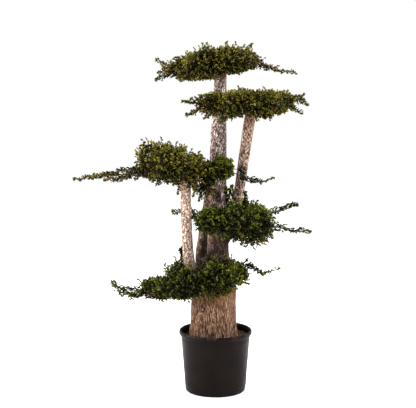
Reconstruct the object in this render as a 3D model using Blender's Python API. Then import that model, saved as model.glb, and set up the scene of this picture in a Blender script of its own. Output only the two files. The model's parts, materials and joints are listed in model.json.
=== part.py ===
"""Juniper bonsai with cloud-pruned pads of foliage, in its nursery pot, at its real size.

Units are metres and +Z is up. The origin is the centre of the pot's flat underside, the
longest tails of foliage reach along X, and the front of the tree faces -Y.

The trunk runs whole from the soil to its tip inside the top pad. Three boughs rise from its
shoulders, and six pads of foliage are carried by the trunk and the boughs' tips. Each pad
is several masses. A mass is one solid: a stem that meets its limb, a core of dense growth,
sprays that stand out of the core by a seeded rule, and on some masses long trailing tails.
"""

import math
import random
from collections import namedtuple

import bmesh
import bpy
from mathutils import Vector

# ---- gaps between neighbouring solids
SEAT_GAP = 0.0003        # between two pieces that rest on each other
LIMB_GAP = 0.0004        # added to a limb's radius where a neighbour is cut clear of it
SPACE_GAP = 0.0008       # between a mass and the plane that bounds its space
SPRAY_GAP = 0.0025       # between a spray and any limb

# ---- pot: a tapered container with a rolled rim
POT_HEIGHT = 0.240
POT_RIM_RADIUS = 0.142
POT_RIM_DEPTH = 0.018
POT_BODY_TOP_RADIUS = 0.1345
POT_BODY_FOOT_RADIUS = 0.1177
POT_FOOT_ROUND = 0.007
POT_WALL = 0.003
POT_SIDES = 48
SOIL_LEVEL = 0.214

# ---- trunk: a stem of steady taper on a swollen butt with a flared foot
TRUNK_TIP = 1.264
TRUNK_SIDES = 24
TRUNK_RINGS = 17
STEM_RADIUS_AT_FORK = 0.0427
STEM_RADIUS_AT_TOP = 0.0215
FORK_LEVEL = 0.560
BUTT_SWELL = 0.0355
BUTT_LEVEL = 0.395
FLARE_SWELL = 0.0065
FLARE_HEIGHT = 0.045
BUTT_LOBES = 5
BUTT_LOBE_DEPTH = 0.045
STEM_LOBE_DEPTH = 0.015
TRUNK_COURSE = (
    Vector((-0.0120, 0.000, SOIL_LEVEL + SEAT_GAP)),
    Vector((-0.0085, 0.000, 0.360)),
    Vector((0.0075, 0.004, 0.560)),
    Vector((0.0065, 0.003, 0.790)),
    Vector((0.0135, 0.000, 1.050)),
    Vector((0.0195, 0.000, TRUNK_TIP)),
)

# ---- boughs: each course starts inside the trunk and ends inside the mass it carries
BOUGH_SIDES = 12
BOUGH_RINGS = 11
BOUGH_TIP_ROUND = 0.006
Bough = namedtuple("Bough", "name course root_radius tip_radius")
BOUGHS = (
    Bough("bough_left", (
        Vector((-0.022, -0.020, 0.375)),
        Vector((-0.066, -0.060, 0.425)),
        Vector((-0.0960, -0.088, 0.505)),
        Vector((-0.1070, -0.110, 0.612)),
        Vector((-0.1120, -0.132, 0.760)),
        Vector((-0.1125, -0.142, 0.862)),
    ), 0.0230, 0.0188),
    Bough("bough_middle", (
        Vector((-0.012, -0.008, 0.420)),
        Vector((-0.048, -0.034, 0.468)),
        Vector((-0.0600, -0.050, 0.530)),
        Vector((-0.0497, -0.066, 0.623)),
        Vector((-0.0360, -0.082, 0.715)),
        Vector((-0.0180, -0.095, 0.832)),
    ), 0.0190, 0.0160),
    Bough("bough_right", (
        Vector((0.014, 0.004, 0.565)),
        Vector((0.050, 0.001, 0.628)),
        Vector((0.0745, -0.011, 0.705)),
        Vector((0.0950, -0.028, 0.825)),
        Vector((0.1160, -0.042, 0.982)),
        Vector((0.1350, -0.052, 1.102)),
    ), 0.0180, 0.0212),
)

# ---- foliage: the size of a spray and how sprays stand out of a mass's core
CORE_SHARE = 0.68        # size of a core as a share of the mass's reach
CORE_LUMP = 0.09         # depth of its lumps as a share of its size
SPRAY_SINK = 0.013       # how deep the sprays' roots are sunk in it
SPRAY_LONGEST = 0.090
SPRAY_SHORTEST = 0.032
SPRAY_DIRECTIONS = 18    # ways out of each core that are tried
SPRAY_LIFT = 0.25        # how far each spray's heading is turned up
SPRAY_JITTER = 0.30      # and how far it strays
SPRAY_ROLL = 0.6
SPRAY_BOW = 0.10         # rise of its middle as a share of its length
TWIG_RADIUS = 0.0040
TWIG_TAPER = 0.55
TOOTH_LENGTH = 0.020
TOOTH_TAPER = 0.35
TOOTH_PITCH = 0.024
TOOTH_LEAN_RIGHT = 0.95  # where along its stretch a tooth's tip stands, on either side
TOOTH_LEAN_LEFT = 0.75
TAIL_ROOT = 0.35         # start of a tail on its way from the core's centre
TAIL_PITCH = 0.0276
TAIL_TOOTH = 0.0170
STEM_RADIUS = 0.0065
STEM_SIDES = 5
GOLDEN_ANGLE = math.pi * (3.0 - math.sqrt(5.0))

# A mass: its centre, its reach from there (along X, along Y, up and down), the two headings
# in degrees that bound its sector of the pad, the limb that carries it with the level where
# its stem meets that limb, and the courses of its tails
Mass = namedtuple("Mass", "name centre reach sector limb level tails", defaults=((),))
# A pad: the limb about which its masses are set, the level of its sectors' walls, its masses
Pad = namedtuple("Pad", "limb level masses")
PADS = (
    Pad("trunk", 1.240, (
        Mass("top_left", (-0.092, 0.000, 1.244), (0.116, 0.116, 0.086, 0.046), (150, 210),
             "trunk", 1.235,
             (((-0.170, -0.010, 1.235), (-0.228, -0.005, 1.207)),
              ((-0.165, 0.010, 1.262), (-0.220, 0.005, 1.283)))),
        Mass("top_front_left", (-0.036, -0.066, 1.248), (0.120, 0.084, 0.098, 0.046), (210, 268),
             "trunk", 1.240),
        Mass("top_front_right", (0.056, -0.066, 1.266), (0.114, 0.084, 0.084, 0.042), (268, 328),
             "trunk", 1.245),
        Mass("top_right", (0.098, 0.000, 1.274), (0.098, 0.102, 0.070, 0.034), (328, 32),
             "trunk", 1.250,
             (((0.172, -0.005, 1.274), (0.240, -0.004, 1.254), (0.306, 0.000, 1.231)),
              ((0.120, -0.010, 1.320), (0.137, -0.012, 1.342)))),
        Mass("top_back_right", (0.056, 0.066, 1.266), (0.116, 0.084, 0.080, 0.042), (32, 92),
             "trunk", 1.245),
        Mass("top_back_left", (-0.036, 0.066, 1.248), (0.120, 0.084, 0.092, 0.044), (92, 150),
             "trunk", 1.240),
    )),
    Pad("bough_right", 1.085, (
        Mass("upper_left", (0.018, -0.064, 1.120), (0.118, 0.104, 0.056, 0.050), (138, 222),
             "bough_right", 1.085,
             (((-0.070, -0.078, 1.128), (-0.124, -0.080, 1.134)),
              ((-0.055, -0.088, 1.100), (-0.105, -0.090, 1.083)))),
        Mass("upper_front_left", (0.080, -0.126, 1.114), (0.112, 0.088, 0.066, 0.056), (222, 278),
             "bough_right", 1.080),
        Mass("upper_front_right", (0.180, -0.118, 1.116), (0.096, 0.084, 0.068, 0.064), (278, 332),
             "bough_right", 1.080),
        Mass("upper_right", (0.222, -0.050, 1.122), (0.094, 0.090, 0.058, 0.050), (332, 30),
             "bough_right", 1.085,
             (((0.280, -0.050, 1.136), (0.318, -0.050, 1.138), (0.348, -0.050, 1.122)),
              ((0.276, -0.056, 1.108), (0.325, -0.058, 1.082)))),
        Mass("upper_back", (0.118, 0.036, 1.126), (0.124, 0.082, 0.052, 0.046), (30, 138),
             "bough_right", 1.085),
    )),
    Pad("bough_left", 0.850, (
        Mass("left_outer", (-0.222, -0.140, 0.894), (0.118, 0.106, 0.124, 0.060), (150, 210),
             "bough_left", 0.848,
             (((-0.315, -0.140, 0.864), (-0.425, -0.140, 0.856), (-0.5265, -0.140, 0.844)),
              ((-0.308, -0.165, 0.884), (-0.380, -0.172, 0.872), (-0.455, -0.168, 0.860)),
              ((-0.300, -0.112, 0.856), (-0.365, -0.104, 0.838), (-0.418, -0.100, 0.834)))),
        Mass("left_front", (-0.160, -0.203, 0.884), (0.116, 0.088, 0.112, 0.072), (210, 286),
             "bough_left", 0.845),
        Mass("left_inner", (-0.080, -0.136, 0.870), (0.078, 0.104, 0.108, 0.080), (286, 70),
             "bough_left", 0.848),
        Mass("left_back", (-0.160, -0.070, 0.886), (0.112, 0.082, 0.098, 0.060), (70, 150),
             "bough_left", 0.848),
    )),
    Pad("bough_middle", 0.825, (
        Mass("middle_left", (-0.030, -0.122, 0.855), (0.055, 0.086, 0.072, 0.066), (92, 268),
             "bough_middle", 0.820),
        Mass("middle_right", (0.022, -0.118, 0.876), (0.070, 0.082, 0.050, 0.052), (272, 88),
             "bough_middle", 0.820,
             (((0.084, -0.118, 0.884), (0.122, -0.124, 0.866), (0.152, -0.126, 0.846),
               (0.2186, -0.122, 0.8463)),)),
    )),
    Pad("trunk", 0.650, (
        Mass("right_inner", (-0.020, -0.106, 0.680), (0.060, 0.096, 0.070, 0.074), (192, 262),
             "trunk", 0.640,
             (((-0.066, -0.108, 0.706), (-0.108, -0.084, 0.722), (-0.166, -0.084, 0.716)),)),
        Mass("right_front", (0.066, -0.126, 0.672), (0.100, 0.090, 0.122, 0.082), (262, 312),
             "trunk", 0.625,
             (((0.064, -0.100, 0.775), (0.060, -0.100, 0.812)),)),
        Mass("right_outer", (0.148, -0.078, 0.662), (0.104, 0.100, 0.104, 0.088), (312, 352),
             "bough_right", 0.660,
             (((0.225, -0.062, 0.706), (0.268, -0.052, 0.722), (0.3112, -0.050, 0.740)),
              ((0.236, -0.066, 0.660), (0.300, -0.060, 0.648), (0.3618, -0.055, 0.636)))),
        Mass("right_back", (0.122, 0.040, 0.674), (0.108, 0.082, 0.086, 0.070), (352, 72),
             "bough_right", 0.660),
    )),
    Pad("trunk", 0.450, (
        Mass("lower_outer", (-0.212, -0.052, 0.415), (0.118, 0.086, 0.060, 0.046), (165, 204),
             "trunk", 0.440,
             (((-0.300, -0.060, 0.424), (-0.354, -0.056, 0.414), (-0.399, -0.052, 0.438)),
              ((-0.135, -0.042, 0.510), (-0.130, -0.040, 0.5625)))),
        Mass("lower_front_left", (-0.122, -0.114, 0.420), (0.122, 0.096, 0.084, 0.054), (204, 248),
             "trunk", 0.430),
        Mass("lower_front", (0.010, -0.122, 0.450), (0.100, 0.090, 0.104, 0.072), (248, 306),
             "trunk", 0.440),
        Mass("lower_right", (0.080, -0.036, 0.462), (0.056, 0.092, 0.068, 0.058), (306, 20),
             "trunk", 0.448,
             (((0.130, -0.040, 0.490), (0.190, -0.050, 0.479), (0.2487, -0.050, 0.4945)),
              ((0.100, -0.072, 0.448), (0.128, -0.078, 0.4365)))),
        Mass("lower_back", (0.018, 0.110, 0.456), (0.098, 0.082, 0.062, 0.050), (20, 106),
             "trunk", 0.452),
        Mass("lower_back_left", (-0.100, 0.082, 0.436), (0.110, 0.090, 0.056, 0.048), (106, 165),
             "trunk", 0.448),
    )),
)

# ---- colours, roughness and metallic value of each material
POT_FINISH = ("pot_plastic", (0.022, 0.018, 0.017, 1.0), 0.42, 0.0)
SOIL_FINISH = ("soil", (0.090, 0.055, 0.035, 1.0), 0.95, 0.0)
BARK_FINISH = ("bark", (0.300, 0.210, 0.165, 1.0), 0.90, 0.0)
FOLIAGE_FINISH = ("foliage", (0.055, 0.090, 0.020, 1.0), 0.65, 0.0)

# A limb as sampled: rings of the given centres and radii, level rings or square to the run
Limb = namedtuple("Limb", "name centres radii sides level_rings lobe_depths")


def clear_scene():
    """Remove whatever objects the file starts with."""
    for obj in list(bpy.data.objects):
        bpy.data.objects.remove(obj, do_unlink=True)


def make_material(finish):
    """Return the material for a finish, made once."""
    name, colour, roughness, metallic = finish
    material = bpy.data.materials.get(name)
    if material is None:
        material = bpy.data.materials.new(name)
        material.use_nodes = True
        shader = material.node_tree.nodes["Principled BSDF"]
        shader.inputs["Base Color"].default_value = colour
        shader.inputs["Roughness"].default_value = roughness
        shader.inputs["Metallic"].default_value = metallic
    return material


def make_object(name, form, finish=None):
    """Turn a bmesh into a named object in the scene."""
    mesh = bpy.data.meshes.new(name)
    form.to_mesh(mesh)
    form.free()
    obj = bpy.data.objects.new(name, mesh)
    bpy.context.scene.collection.objects.link(obj)
    if finish is not None:
        mesh.materials.append(make_material(finish))
    return obj


def smooth_step(low, high, value):
    """Rise smoothly from 0 at low to 1 at high."""
    share = min(max((value - low) / (high - low), 0.0), 1.0)
    return share * share * (3.0 - 2.0 * share)


def along(course, share):
    """Return the point at a share of the way along a smooth curve through the course."""
    spans = len(course) - 1
    place = min(max(share, 0.0), 1.0) * spans
    index = min(int(place), spans - 1)
    t = place - index
    before = course[max(index - 1, 0)]
    start = course[index]
    end = course[index + 1]
    after = course[min(index + 2, spans)]
    return 0.5 * (2.0 * start + (end - before) * t
                  + (2.0 * before - 5.0 * start + 4.0 * end - after) * t ** 2
                  + (3.0 * start - before - 3.0 * end + after) * t ** 3)


# ---------------------------------------------------------------- pot and soil
def turned(profile):
    """Spin a profile that starts and ends on the Z axis into a closed round solid."""
    form = bmesh.new()
    verts = [form.verts.new((radius, 0.0, height)) for radius, height in profile]
    edges = [form.edges.new(pair) for pair in zip(verts, verts[1:])]
    bmesh.ops.spin(form, geom=verts + edges, cent=(0, 0, 0), axis=(0, 0, 1),
                   angle=2.0 * math.pi, steps=POT_SIDES, use_merge=True)
    bmesh.ops.remove_doubles(form, verts=form.verts, dist=0.00001)
    bmesh.ops.recalc_face_normals(form, faces=form.faces)
    return form


def inner_radius(height):
    """Return the radius of the pot's inner wall at a height."""
    share = height / (POT_HEIGHT - POT_RIM_DEPTH)
    return POT_BODY_FOOT_RADIUS + (POT_BODY_TOP_RADIUS - POT_BODY_FOOT_RADIUS) * share - POT_WALL


def make_pot():
    """Turn the tapered shell, its rounded foot and its rolled rim."""
    rim_foot = POT_HEIGHT - POT_RIM_DEPTH
    roll = 0.0025
    lip = 0.006
    profile = (
        (0.0, 0.0),
        (POT_BODY_FOOT_RADIUS - POT_FOOT_ROUND, 0.0),
        (POT_BODY_FOOT_RADIUS - 0.3 * POT_FOOT_ROUND, 0.3 * POT_FOOT_ROUND),
        (POT_BODY_FOOT_RADIUS, POT_FOOT_ROUND),
        (POT_BODY_TOP_RADIUS, rim_foot - roll),
        (POT_RIM_RADIUS - roll, rim_foot),
        (POT_RIM_RADIUS, rim_foot + roll),
        (POT_RIM_RADIUS, POT_HEIGHT - roll),
        (POT_RIM_RADIUS - roll, POT_HEIGHT),
        (POT_RIM_RADIUS - lip, POT_HEIGHT),
        (inner_radius(rim_foot), rim_foot),
        (inner_radius(POT_WALL), POT_WALL),
        (0.0, POT_WALL),
    )
    pot = make_object("pot", turned(profile), POT_FINISH)
    pot.data.shade_smooth()
    pot.data.set_sharp_from_angle(angle=math.radians(35))


def make_soil():
    """Turn the soil that fills the pot, clear of its wall by the seat gap."""
    floor = POT_WALL + SEAT_GAP
    profile = (
        (0.0, floor),
        (inner_radius(floor) - SEAT_GAP, floor),
        (inner_radius(SOIL_LEVEL) - SEAT_GAP, SOIL_LEVEL),
        (0.0, SOIL_LEVEL),
    )
    make_object("soil", turned(profile), SOIL_FINISH)


# ---------------------------------------------------------------- trunk and boughs
def trunk_radius(height):
    """Return the trunk's mean radius at a height."""
    taper = (STEM_RADIUS_AT_TOP - STEM_RADIUS_AT_FORK) / (TRUNK_TIP - FORK_LEVEL)
    stem = STEM_RADIUS_AT_FORK + taper * (height - FORK_LEVEL)
    butt = BUTT_SWELL * (1.0 - smooth_step(BUTT_LEVEL, FORK_LEVEL, height))
    flare = FLARE_SWELL * math.exp((SOIL_LEVEL - height) / FLARE_HEIGHT)
    return stem + butt + flare


def sample_trunk():
    """Return the trunk as a limb of level rings, with a rounded tip."""
    centres, radii, lobe_depths = [], [], []
    for ring in range(TRUNK_RINGS):
        centre = along(TRUNK_COURSE, ring / (TRUNK_RINGS - 1))
        centres.append(centre)
        radii.append(trunk_radius(centre.z))
        foot = 1.0 - smooth_step(BUTT_LEVEL, FORK_LEVEL, centre.z)
        lobe_depths.append(STEM_LOBE_DEPTH + (BUTT_LOBE_DEPTH - STEM_LOBE_DEPTH) * foot)
    centres.append(centres[-1] + Vector((0.0, 0.0, BOUGH_TIP_ROUND)))
    radii.append(0.6 * radii[-1])
    lobe_depths.append(STEM_LOBE_DEPTH)
    return Limb("trunk", centres, radii, TRUNK_SIDES, True, lobe_depths)


def sample_bough(bough):
    """Return a bough as a limb of rings square to its run, with a rounded tip."""
    shares = [ring / (BOUGH_RINGS - 1) for ring in range(BOUGH_RINGS)]
    centres = [along(bough.course, share) for share in shares]
    radii = [bough.root_radius + (bough.tip_radius - bough.root_radius) * share for share in shares]
    run = (centres[-1] - centres[-2]).normalized()
    centres.append(centres[-1] + run * BOUGH_TIP_ROUND)
    radii.append(0.6 * radii[-1])
    return Limb(bough.name, centres, radii, BOUGH_SIDES, False, [0.0] * len(centres))


def limb_form(limb, grow=0.0):
    """Build a limb's closed form, with its radius grown by the given amount."""
    form = bmesh.new()
    last = len(limb.centres) - 1
    rings = []
    for index, centre in enumerate(limb.centres):
        run = Vector((0, 0, 1))
        if not limb.level_rings:
            run = (limb.centres[min(index + 1, last)] - limb.centres[max(index - 1, 0)]).normalized()
        across = Vector((0, 1, 0)).cross(run).normalized()
        depth = run.cross(across)
        ring = []
        for side in range(limb.sides):
            angle = 2.0 * math.pi * side / limb.sides
            lobe = 1.0 + limb.lobe_depths[index] * math.cos(BUTT_LOBES * angle + 2.0 * centre.z)
            radius = limb.radii[index] * lobe + grow
            ring.append(form.verts.new(centre + across * radius * math.cos(angle)
                                       + depth * radius * math.sin(angle)))
        rings.append(ring)
    for lower, upper in zip(rings, rings[1:]):
        for side in range(limb.sides):
            beside = (side + 1) % limb.sides
            form.faces.new((lower[side], lower[beside], upper[beside], upper[side]))
    form.faces.new(list(reversed(rings[0])))
    form.faces.new(rings[-1])
    bmesh.ops.triangulate(form, faces=form.faces)
    bmesh.ops.recalc_face_normals(form, faces=form.faces)
    return form


def clearance(limb, point):
    """Return how far a point lies outside a limb's surface."""
    nearest = math.inf
    for index in range(len(limb.centres) - 1):
        start, end = limb.centres[index], limb.centres[index + 1]
        run = end - start
        share = min(max((point - start).dot(run) / run.length_squared, 0.0), 1.0)
        radius = limb.radii[index] + (limb.radii[index + 1] - limb.radii[index]) * share
        outer = radius * (1.0 + limb.lobe_depths[index])
        nearest = min(nearest, (point - (start + run * share)).length - outer)
    return nearest


def make_cutter(limb):
    """Make a limb's grown copy, which cuts its neighbours clear of it."""
    cutter = make_object(limb.name + "_cutter", limb_form(limb, LIMB_GAP))
    cutter.hide_render = True
    cutter.display_type = "WIRE"
    return cutter


def apply_modifiers(obj):
    """Freeze an object's evaluated mesh and keep only its largest closed shell."""
    graph = bpy.context.evaluated_depsgraph_get()
    mesh = bpy.data.meshes.new_from_object(obj.evaluated_get(graph))
    obj.modifiers.clear()
    obj.data = mesh
    form = bmesh.new()
    form.from_mesh(mesh)
    bmesh.ops.triangulate(form, faces=form.faces)
    bmesh.ops.remove_doubles(form, verts=form.verts, dist=0.00002)
    bmesh.ops.dissolve_degenerate(form, edges=form.edges, dist=0.00002)
    bmesh.ops.triangulate(form, faces=form.faces)
    keep_largest_shell(form)
    form.to_mesh(mesh)
    form.free()


def keep_largest_shell(form):
    """Delete every connected shell of a form but the one with the most faces."""
    unseen = set(form.faces)
    shells = []
    while unseen:
        shell = {unseen.pop()}
        edge_of_shell = list(shell)
        while edge_of_shell:
            face = edge_of_shell.pop()
            for edge in face.edges:
                for beside in edge.link_faces:
                    if beside in unseen:
                        unseen.discard(beside)
                        shell.add(beside)
                        edge_of_shell.append(beside)
        shells.append(shell)
    largest = max(shells, key=len)
    scraps = [face for face in form.faces if face not in largest]
    bmesh.ops.delete(form, geom=scraps, context="FACES")


def cut_clear(obj, cutters):
    """Cut an object clear of each of the cutters."""
    for cutter in cutters:
        cut = obj.modifiers.new("clear_of_" + cutter.name, "BOOLEAN")
        cut.operation = "DIFFERENCE"
        cut.solver = "EXACT"
        cut.object = cutter
    apply_modifiers(obj)


def make_limbs():
    """Make the trunk and the boughs, and return every limb with its cutter."""
    trunk = sample_trunk()
    limbs = {"trunk": trunk}
    make_object("trunk", limb_form(trunk), BARK_FINISH)
    cutters = {"trunk": make_cutter(trunk)}
    for bough in BOUGHS:
        limb = sample_bough(bough)
        limbs[bough.name] = limb
        cutters[bough.name] = make_cutter(limb)
        cut_clear(make_object(bough.name, limb_form(limb), BARK_FINISH), [cutters["trunk"]])
    return limbs, cutters


# ---------------------------------------------------------------- masses of foliage
def reach_towards(mass, direction):
    """Return how far a mass reaches from its centre along a unit direction."""
    across, deep, up, down = mass.reach
    upright = up if direction.z > 0.0 else down
    return 1.0 / math.sqrt((direction.x / across) ** 2 + (direction.y / deep) ** 2
                           + (direction.z / upright) ** 2)


def way_out(mass, start, heading):
    """Return how far a ray from inside a mass runs before it leaves the mass's reach."""
    step = 0.001
    length = 0.0
    while length < SPRAY_LONGEST:
        offset = start + heading * (length + step) - Vector(mass.centre)
        if offset.length > reach_towards(mass, offset.normalized()):
            break
        length += step
    return length


def sector_walls(mass, apex):
    """Return the two upright planes that bound a mass's sector, as point and outward normal."""
    walls = []
    for heading, outward in zip(mass.sector, (-90.0, 90.0)):
        turn = math.radians(heading + outward)
        normal = Vector((math.cos(turn), math.sin(turn), 0.0))
        walls.append((apex - normal * SPACE_GAP, normal))
    return walls


def shared_walls(mass, strangers):
    """Return a plane midway to each mass of another pad that reaches into this one."""
    centre = Vector(mass.centre)
    walls = []
    for other in strangers:
        way = Vector(other.centre) - centre
        normal = way.normalized()
        own = reach_towards(mass, normal)
        theirs = reach_towards(other, -normal)
        if own + theirs > way.length:
            middle = centre + way * (own / (own + theirs))
            walls.append((middle - normal * SPACE_GAP, normal))
    return walls


def core_form(mass, planes, seed):
    """Build a mass's core: a lumpy rounded block, cut flat by the planes of its space."""
    form = bmesh.new()
    bmesh.ops.create_icosphere(form, subdivisions=2, radius=1.0)
    lumps = random.Random(seed)
    for vert in form.verts:
        direction = vert.co.normalized()
        swell = 1.0 + CORE_LUMP * lumps.uniform(-1.0, 1.0)
        vert.co = direction * reach_towards(mass, direction) * CORE_SHARE * swell + Vector(mass.centre)
    for point, normal in planes:
        cut = bmesh.ops.bisect_plane(form, geom=form.verts[:] + form.edges[:] + form.faces[:],
                                     plane_co=point, plane_no=normal, clear_outer=True)
        rim = [item for item in cut["geom_cut"] if isinstance(item, bmesh.types.BMEdge)]
        if rim:
            bmesh.ops.holes_fill(form, edges=rim)
    bmesh.ops.triangulate(form, faces=form.faces)
    bmesh.ops.recalc_face_normals(form, faces=form.faces)
    return form


def toothed_twig(course, upward, radius, tooth):
    """Build a three-sided twig along a course, with a pair of leafy teeth on each stretch."""
    form = bmesh.new()
    stretches = len(course) - 1
    rings = []
    for index, point in enumerate(course[:-1]):
        run = (course[index + 1] - course[max(index - 1, 0)]).normalized()
        side = run.cross(upward).normalized()
        over = side.cross(run)
        size = radius * (1.0 - TWIG_TAPER * index / stretches)
        rings.append((form.verts.new(point + over * size),
                      form.verts.new(point - over * 0.5 * size + side * size),
                      form.verts.new(point - over * 0.5 * size - side * size)))
    form.faces.new(reversed(rings[0]))
    for index, (near, far) in enumerate(zip(rings, rings[1:])):
        start, end = course[index], course[index + 1]
        run = end - start
        side = run.cross(upward).normalized()
        out = tooth * (1.0 - TOOTH_TAPER * index / stretches)
        right = form.verts.new(start + run * TOOTH_LEAN_RIGHT + side * out)
        left = form.verts.new(start + run * TOOTH_LEAN_LEFT - side * out)
        form.faces.new((near[0], near[1], right))
        form.faces.new((near[0], right, far[0]))
        form.faces.new((far[0], right, far[1]))
        form.faces.new((near[0], left, near[2]))
        form.faces.new((near[0], far[0], left))
        form.faces.new((far[0], far[2], left))
        form.faces.new((near[1], far[1], right))
        form.faces.new((near[2], left, far[2]))
        form.faces.new((near[1], near[2], far[2]))
        form.faces.new((near[1], far[2], far[1]))
    tip = form.verts.new(course[-1])
    for corner in range(3):
        form.faces.new((rings[-1][corner], rings[-1][(corner + 1) % 3], tip))
    bmesh.ops.recalc_face_normals(form, faces=form.faces)
    return form


def stays_clear(points, planes, limbs):
    """Tell whether points keep to a mass's space and off the limbs."""
    for point in points:
        if any((point - place).dot(normal) > -SPACE_GAP for place, normal in planes):
            return False
        if any(clearance(limb, point) < SPRAY_GAP for limb in limbs.values()):
            return False
    return True


def evenly_out(count, turn):
    """Yield unit directions spread evenly all round, from the top down."""
    for index in range(count):
        height = 1.0 - 2.0 * (index + 0.5) / count
        ring = math.sqrt(1.0 - height * height)
        angle = turn + index * GOLDEN_ANGLE
        yield Vector((ring * math.cos(angle), ring * math.sin(angle), height))


def make_sprays(mass, planes, limbs, seed):
    """Return the sprays that stand out of a mass's core by the seeded rule."""
    rule = random.Random(seed)
    centre = Vector(mass.centre)
    sprays = []
    for direction in evenly_out(SPRAY_DIRECTIONS, rule.uniform(0.0, 2.0 * math.pi)):
        jitter = Vector([rule.uniform(-SPRAY_JITTER, SPRAY_JITTER) for axis in range(3)])
        roll = rule.uniform(-SPRAY_ROLL, SPRAY_ROLL)
        root = centre + direction * (reach_towards(mass, direction) * CORE_SHARE - SPRAY_SINK)
        heading = (direction + jitter + Vector((0, 0, SPRAY_LIFT))).normalized()
        length = way_out(mass, root, heading)
        if length < SPRAY_SHORTEST:
            continue
        stretches = max(2, round(length / TOOTH_PITCH))
        bow = Vector((0, 0, SPRAY_BOW * length))
        course = [root + heading * (length * part / stretches)
                  + bow * math.sin(math.pi * part / stretches) for part in range(stretches + 1)]
        upward = (Vector((0, 0, 1)) + roll * heading.orthogonal().normalized()).normalized()
        if abs(upward.dot(heading)) > 0.9:
            upward = heading.orthogonal().normalized()
        form = toothed_twig(course, upward, TWIG_RADIUS, TOOTH_LENGTH)
        if stays_clear([vert.co for vert in form.verts], planes, limbs):
            sprays.append(form)
        else:
            form.free()
    return sprays


def make_tail(mass, tail):
    """Return one long trailing twig, rooted inside the core and carrying teeth to its tip."""
    centre = Vector(mass.centre)
    points = [Vector(point) for point in tail]
    points.insert(0, centre + (points[0] - centre) * TAIL_ROOT)
    length = sum((end - start).length for start, end in zip(points, points[1:]))
    stretches = max(3, round(length / TAIL_PITCH))
    course = [along(points, part / stretches) for part in range(stretches + 1)]
    upright = abs((points[-1] - points[0]).normalized().z) > 0.8
    upward = Vector((0, -1, 0)) if upright else Vector((0, -0.35, 1)).normalized()
    return toothed_twig(course, upward, TWIG_RADIUS, TAIL_TOOTH)


def limb_point(limb, height):
    """Return the centre of a limb at a height."""
    for start, end in zip(limb.centres, limb.centres[1:]):
        if start.z <= height <= end.z:
            return start + (end - start) * ((height - start.z) / (end.z - start.z))
    return limb.centres[-1]


def stem_form(mass, limbs):
    """Build the stem that runs from the middle of a mass's limb to the mass's centre."""
    root = limb_point(limbs[mass.limb], mass.level)
    tip = Vector(mass.centre)
    run = (tip - root).normalized()
    side = run.orthogonal().normalized()
    over = run.cross(side)
    form = bmesh.new()
    rings = []
    for point, radius in ((root, STEM_RADIUS), (tip, 0.6 * STEM_RADIUS)):
        ring = []
        for corner in range(STEM_SIDES):
            turn = 2.0 * math.pi * corner / STEM_SIDES
            ring.append(form.verts.new(point + (side * math.cos(turn) + over * math.sin(turn)) * radius))
        rings.append(ring)
    for corner in range(STEM_SIDES):
        beside = (corner + 1) % STEM_SIDES
        form.faces.new((rings[0][corner], rings[0][beside], rings[1][beside], rings[1][corner]))
    form.faces.new(list(reversed(rings[0])))
    form.faces.new(rings[1])
    bmesh.ops.triangulate(form, faces=form.faces)
    bmesh.ops.recalc_face_normals(form, faces=form.faces)
    return form


def make_mass(mass, planes, limbs, cutters, seed):
    """Fuse one mass from its core, stem, sprays and tails, and cut it clear of the limbs."""
    forms = [stem_form(mass, limbs)]
    forms += make_sprays(mass, planes, limbs, seed)
    forms += [make_tail(mass, tail) for tail in mass.tails]
    body = make_object(mass.name, core_form(mass, planes, seed), FOLIAGE_FINISH)
    growth = bpy.data.collections.new(mass.name + "_growth")
    bpy.context.scene.collection.children.link(growth)
    for form in forms:
        part = make_object("growth", form)
        bpy.context.scene.collection.objects.unlink(part)
        growth.objects.link(part)
    union = body.modifiers.new("growth", "BOOLEAN")
    union.operation = "UNION"
    union.operand_type = "COLLECTION"
    union.collection = growth
    union.solver = "MANIFOLD"
    apply_modifiers(body)
    for part in list(growth.objects):
        bpy.data.objects.remove(part, do_unlink=True)
    bpy.data.collections.remove(growth)
    near = [cutters[name] for name, limb in limbs.items()
            if min(clearance(limb, vert.co) for vert in body.data.vertices) < 2.0 * SPRAY_GAP]
    if near:
        cut_clear(body, near)


def make_foliage(limbs, cutters):
    """Make every mass of every pad."""
    seed = 0
    for pad in PADS:
        strangers = [mass for other in PADS if other is not pad for mass in other.masses]
        apex = limb_point(limbs[pad.limb], pad.level)
        for mass in pad.masses:
            seed += 1
            planes = sector_walls(mass, apex) + shared_walls(mass, strangers)
            make_mass(mass, planes, limbs, cutters, seed)


def main():
    """Build the whole plant in its pot."""
    clear_scene()
    make_pot()
    make_soil()
    limbs, cutters = make_limbs()
    make_foliage(limbs, cutters)
    for cutter in cutters.values():
        bpy.data.objects.remove(cutter, do_unlink=True)


main()
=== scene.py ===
# Juniper bonsai with cloud-pruned pads of foliage, in its black nursery pot.
# Units are metres, +Z is up, and the front of the tree faces -Y.
import json
import math
import random

import bmesh
import bpy
import numpy as np
from mathutils import Matrix, Vector, noise

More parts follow.
